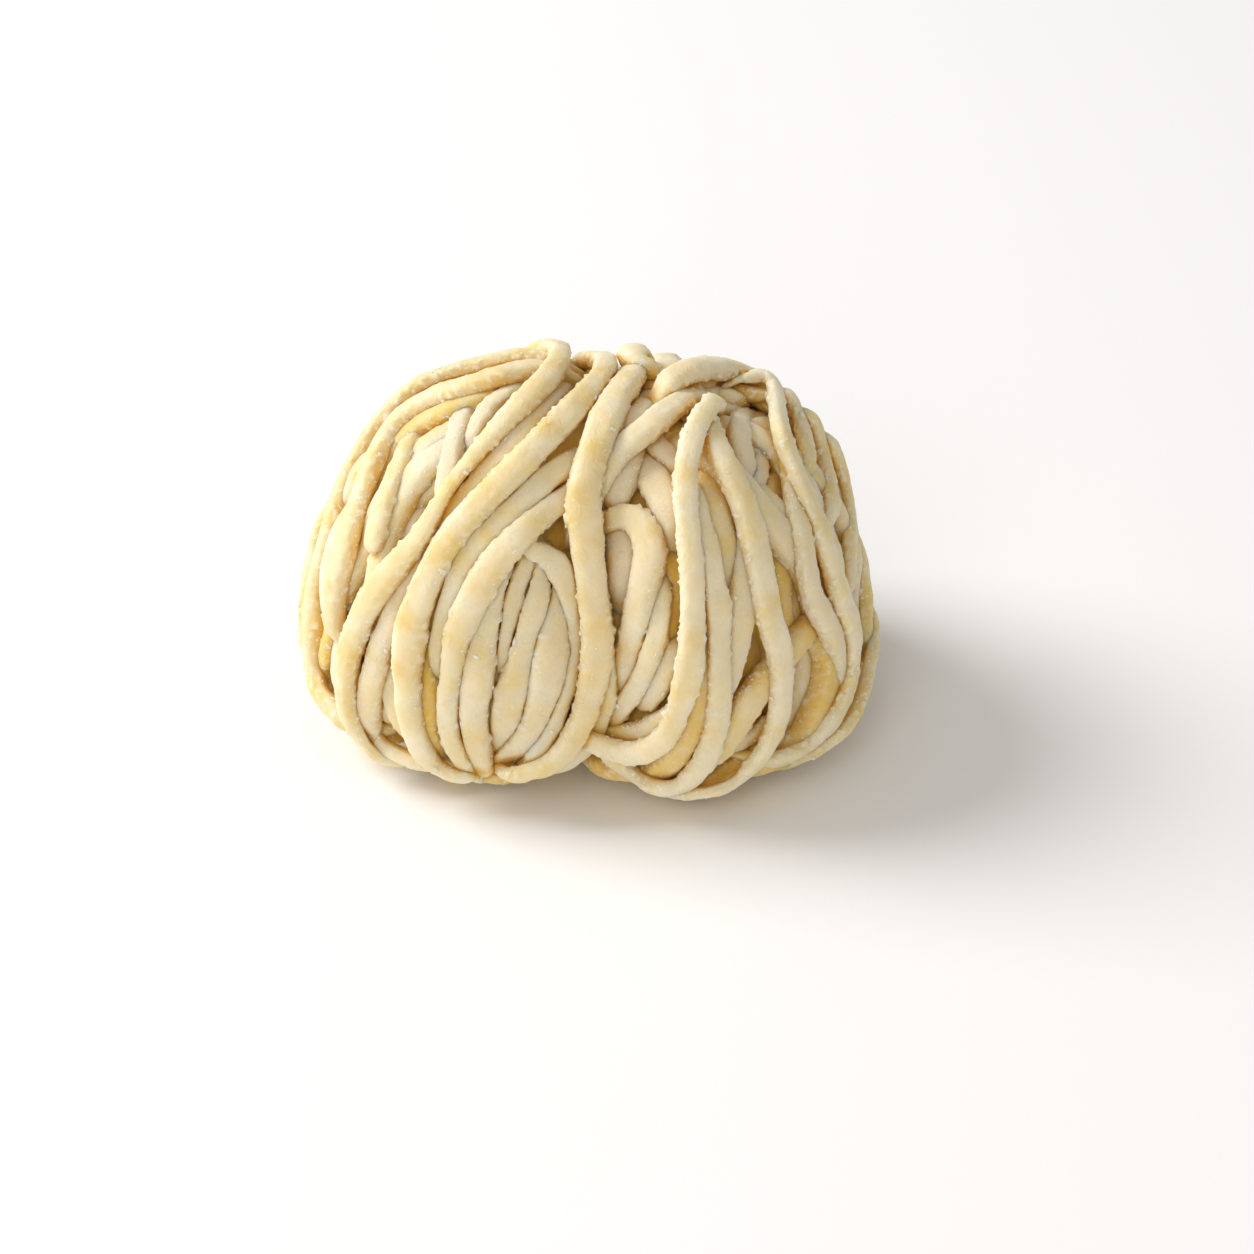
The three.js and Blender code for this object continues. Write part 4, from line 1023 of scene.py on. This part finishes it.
def core_mesh():
    """What shows deepest between the strands: a lumpy mass of more dough."""
    rings, spokes = CORE_RINGS, CORE_SPOKES
    rise = np.linspace(-math.pi / 2, math.pi / 2, rings + 2)[1:-1]
    turn = np.arange(spokes) * 2 * math.pi / spokes
    rise, turn = np.meshgrid(rise, turn, indexing="ij")
    ray = np.stack([np.cos(rise) * np.cos(turn), np.cos(rise) * np.sin(turn), np.sin(rise)], axis=-1)
    ray = np.vstack([ray.reshape(-1, 3), [(0, 0, -1), (0, 0, 1)]])
    depth = CORE_DEPTH + CORE_LUMPS * np.sin(ray[:, 0] * 31) * np.sin(ray[:, 2] * 23 + 2 * ray[:, 1])
    depth = np.where(ray[:, 2] < -0.3, CORE_FOOT_DEPTH, depth)
    points = reach_depth(MIDDLE, ray, lambda p: depth, 60.0) * MM

    def at(ring, spoke):
        return ring * spokes + spoke % spokes

    bottom, top = rings * spokes, rings * spokes + 1
    quads = [(r, s) for r in range(rings - 1) for s in range(spokes)]
    faces = [(at(r, s), at(r, s + 1), at(r + 1, s + 1), at(r + 1, s)) for r, s in quads]
    faces += [(bottom, at(0, s + 1), at(0, s)) for s in range(spokes)]
    faces += [(top, at(rings - 1, s), at(rings - 1, s + 1)) for s in range(spokes)]
    mesh = bpy.data.meshes.new("core")
    mesh.from_pydata(points.tolist(), [], faces)
    mesh.shade_smooth()
    # painted shade: the core counts as wholly shut in and deep, so all of it takes the gold of crevice shade
    for label, value in (("gold", 1.0), ("flour", 0.0), ("edge", 0.0), ("tooth", 0.0), ("open", 0.0)):
        note(mesh, label, np.full(len(points), value))
    return mesh


SWEEPS = {  # sides of the section, and millimetres from ring to ring
    "left_top": (28, 0.36), "left_low": (22, 0.46), "right_top": (28, 0.36), "right_low": (22, 0.46),
    "back": (20, 0.66), "ends": (20, 0.66), "inner": (10, 1.6),
}
IN_FRONT, BEHIND = ("left_top", "left_low", "right_top", "right_low"), ("back", "ends")
SCATTERS = {
    "crumbs": dict(
        crumbs_to_a_square_cm=110.0, by_edges=1.2, elsewhere=0.015,
        smallest=0.08 * MM, largest=0.24 * MM, flatness=0.62, segments=5, rings=3,
    ),
    "specks": dict(
        crumbs_to_a_square_cm=180.0, by_edges=0.8, elsewhere=0.12,
        smallest=0.05 * MM, largest=0.13 * MM, flatness=0.7, segments=4, rings=2,
    ),
    "flakes": dict(
        crumbs_to_a_square_cm=6.0, by_edges=0.5, elsewhere=0.6,
        smallest=0.2 * MM, largest=0.5 * MM, flatness=0.3, segments=7, rings=4,
    ),
}

dough, flour = fresh_egg_dough(), dry_flour()
nest = Nest()
lay_front(nest)
lay_ends(nest)
lay_inner(nest)
ease_apart(nest)
press_together(nest)

sweep = strand_tree(dough)
scatter = crumb_tree(flour)
closeness = Closeness(nest.parts)
strands = {}
for number, (group, (sides, step)) in enumerate(SWEEPS.items()):
    source = centre_lines(group, [s for s in nest.parts if s["group"] == group], SEED + number)
    strands[group] = grown("strands_" + group, source, sweep, sides=sides, length_of_step=step * MM)
    note_openness(strands[group], closeness)
    bpy.data.objects.remove(source)
pieces = list(strands.values())
for label, sizes in SCATTERS.items():
    for side, groups in (("front", IN_FRONT), ("back", BEHIND)):
        parts = []
        for k, group in enumerate(groups):
            parts.append(grown(label, strands[group], scatter, seed=SEED + k, **sizes))
        pieces.append(joined("flour_" + label + "_" + side, parts))

core = linked("core", core_mesh())
core.data.materials.append(dough)
pieces.append(core)

for piece in pieces:
    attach(piece, "root")
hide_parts("pasta_nest")

# ---- Stage, light and camera -----------------------------------------------------------------------------
KEY_PLACE, KEY_SIZE, KEY_WATTS, KEY_TINT = (-1.03, 0.28, 0.90), 0.85, 17.4, "#FAF9FA"
FILL_PLACE, FILL_SIZE, FILL_WATTS, FILL_TINT = (-0.35, -1.1, 0.8), 0.9, 4.3, "#FFF9F1"
LIT_SPOT = (0, 0, 0.02)
WORLD_TINT, WORLD_STRENGTH = "#FEFBF7", 0.43
FOCAL_LENGTH, SENSOR_WIDTH = 104.07, 36.0
FLOOR_REACH = 3


def soft_light(name, place, size, power, tint):
    lamp = bpy.data.lights.new(name, "AREA")
    lamp.shape, lamp.size, lamp.energy, lamp.color = "DISK", size, power, colour(tint)[:3]
    light = linked(name, lamp)
    light.location = place
    light.rotation_euler = (Vector(LIT_SPOT) - Vector(place)).to_track_quat("-Z", "Y").to_euler()


corners = [(FLOOR_REACH * x, FLOOR_REACH * y, 0) for x, y in ((-1, -1), (1, -1), (1, 1), (-1, 1))]
board = bpy.data.meshes.new("floor")
board.from_pydata(corners, [], [(0, 1, 2, 3)])
board.materials.append(matt_white_board())
floor = linked("floor", board)

soft_light("key", KEY_PLACE, KEY_SIZE, KEY_WATTS, KEY_TINT)
soft_light("front fill", FILL_PLACE, FILL_SIZE, FILL_WATTS, FILL_TINT)
world = bpy.data.worlds.new("studio")
world.use_nodes = True
sky = world.node_tree.nodes["Background"].inputs
sky["Color"].default_value = colour(WORLD_TINT)
sky["Strength"].default_value = WORLD_STRENGTH
bpy.context.scene.world = world

lens = bpy.data.cameras.new("camera")
lens.lens, lens.sensor_width, lens.clip_start = FOCAL_LENGTH, SENSOR_WIDTH, 0.01
camera = linked("camera", lens)
camera.location = EYE * MM
camera.rotation_euler = Vector(AIM - EYE).to_track_quat("-Z", "Y").to_euler()
bpy.context.scene.camera = camera
bpy.context.scene.view_settings.view_transform = "Standard"
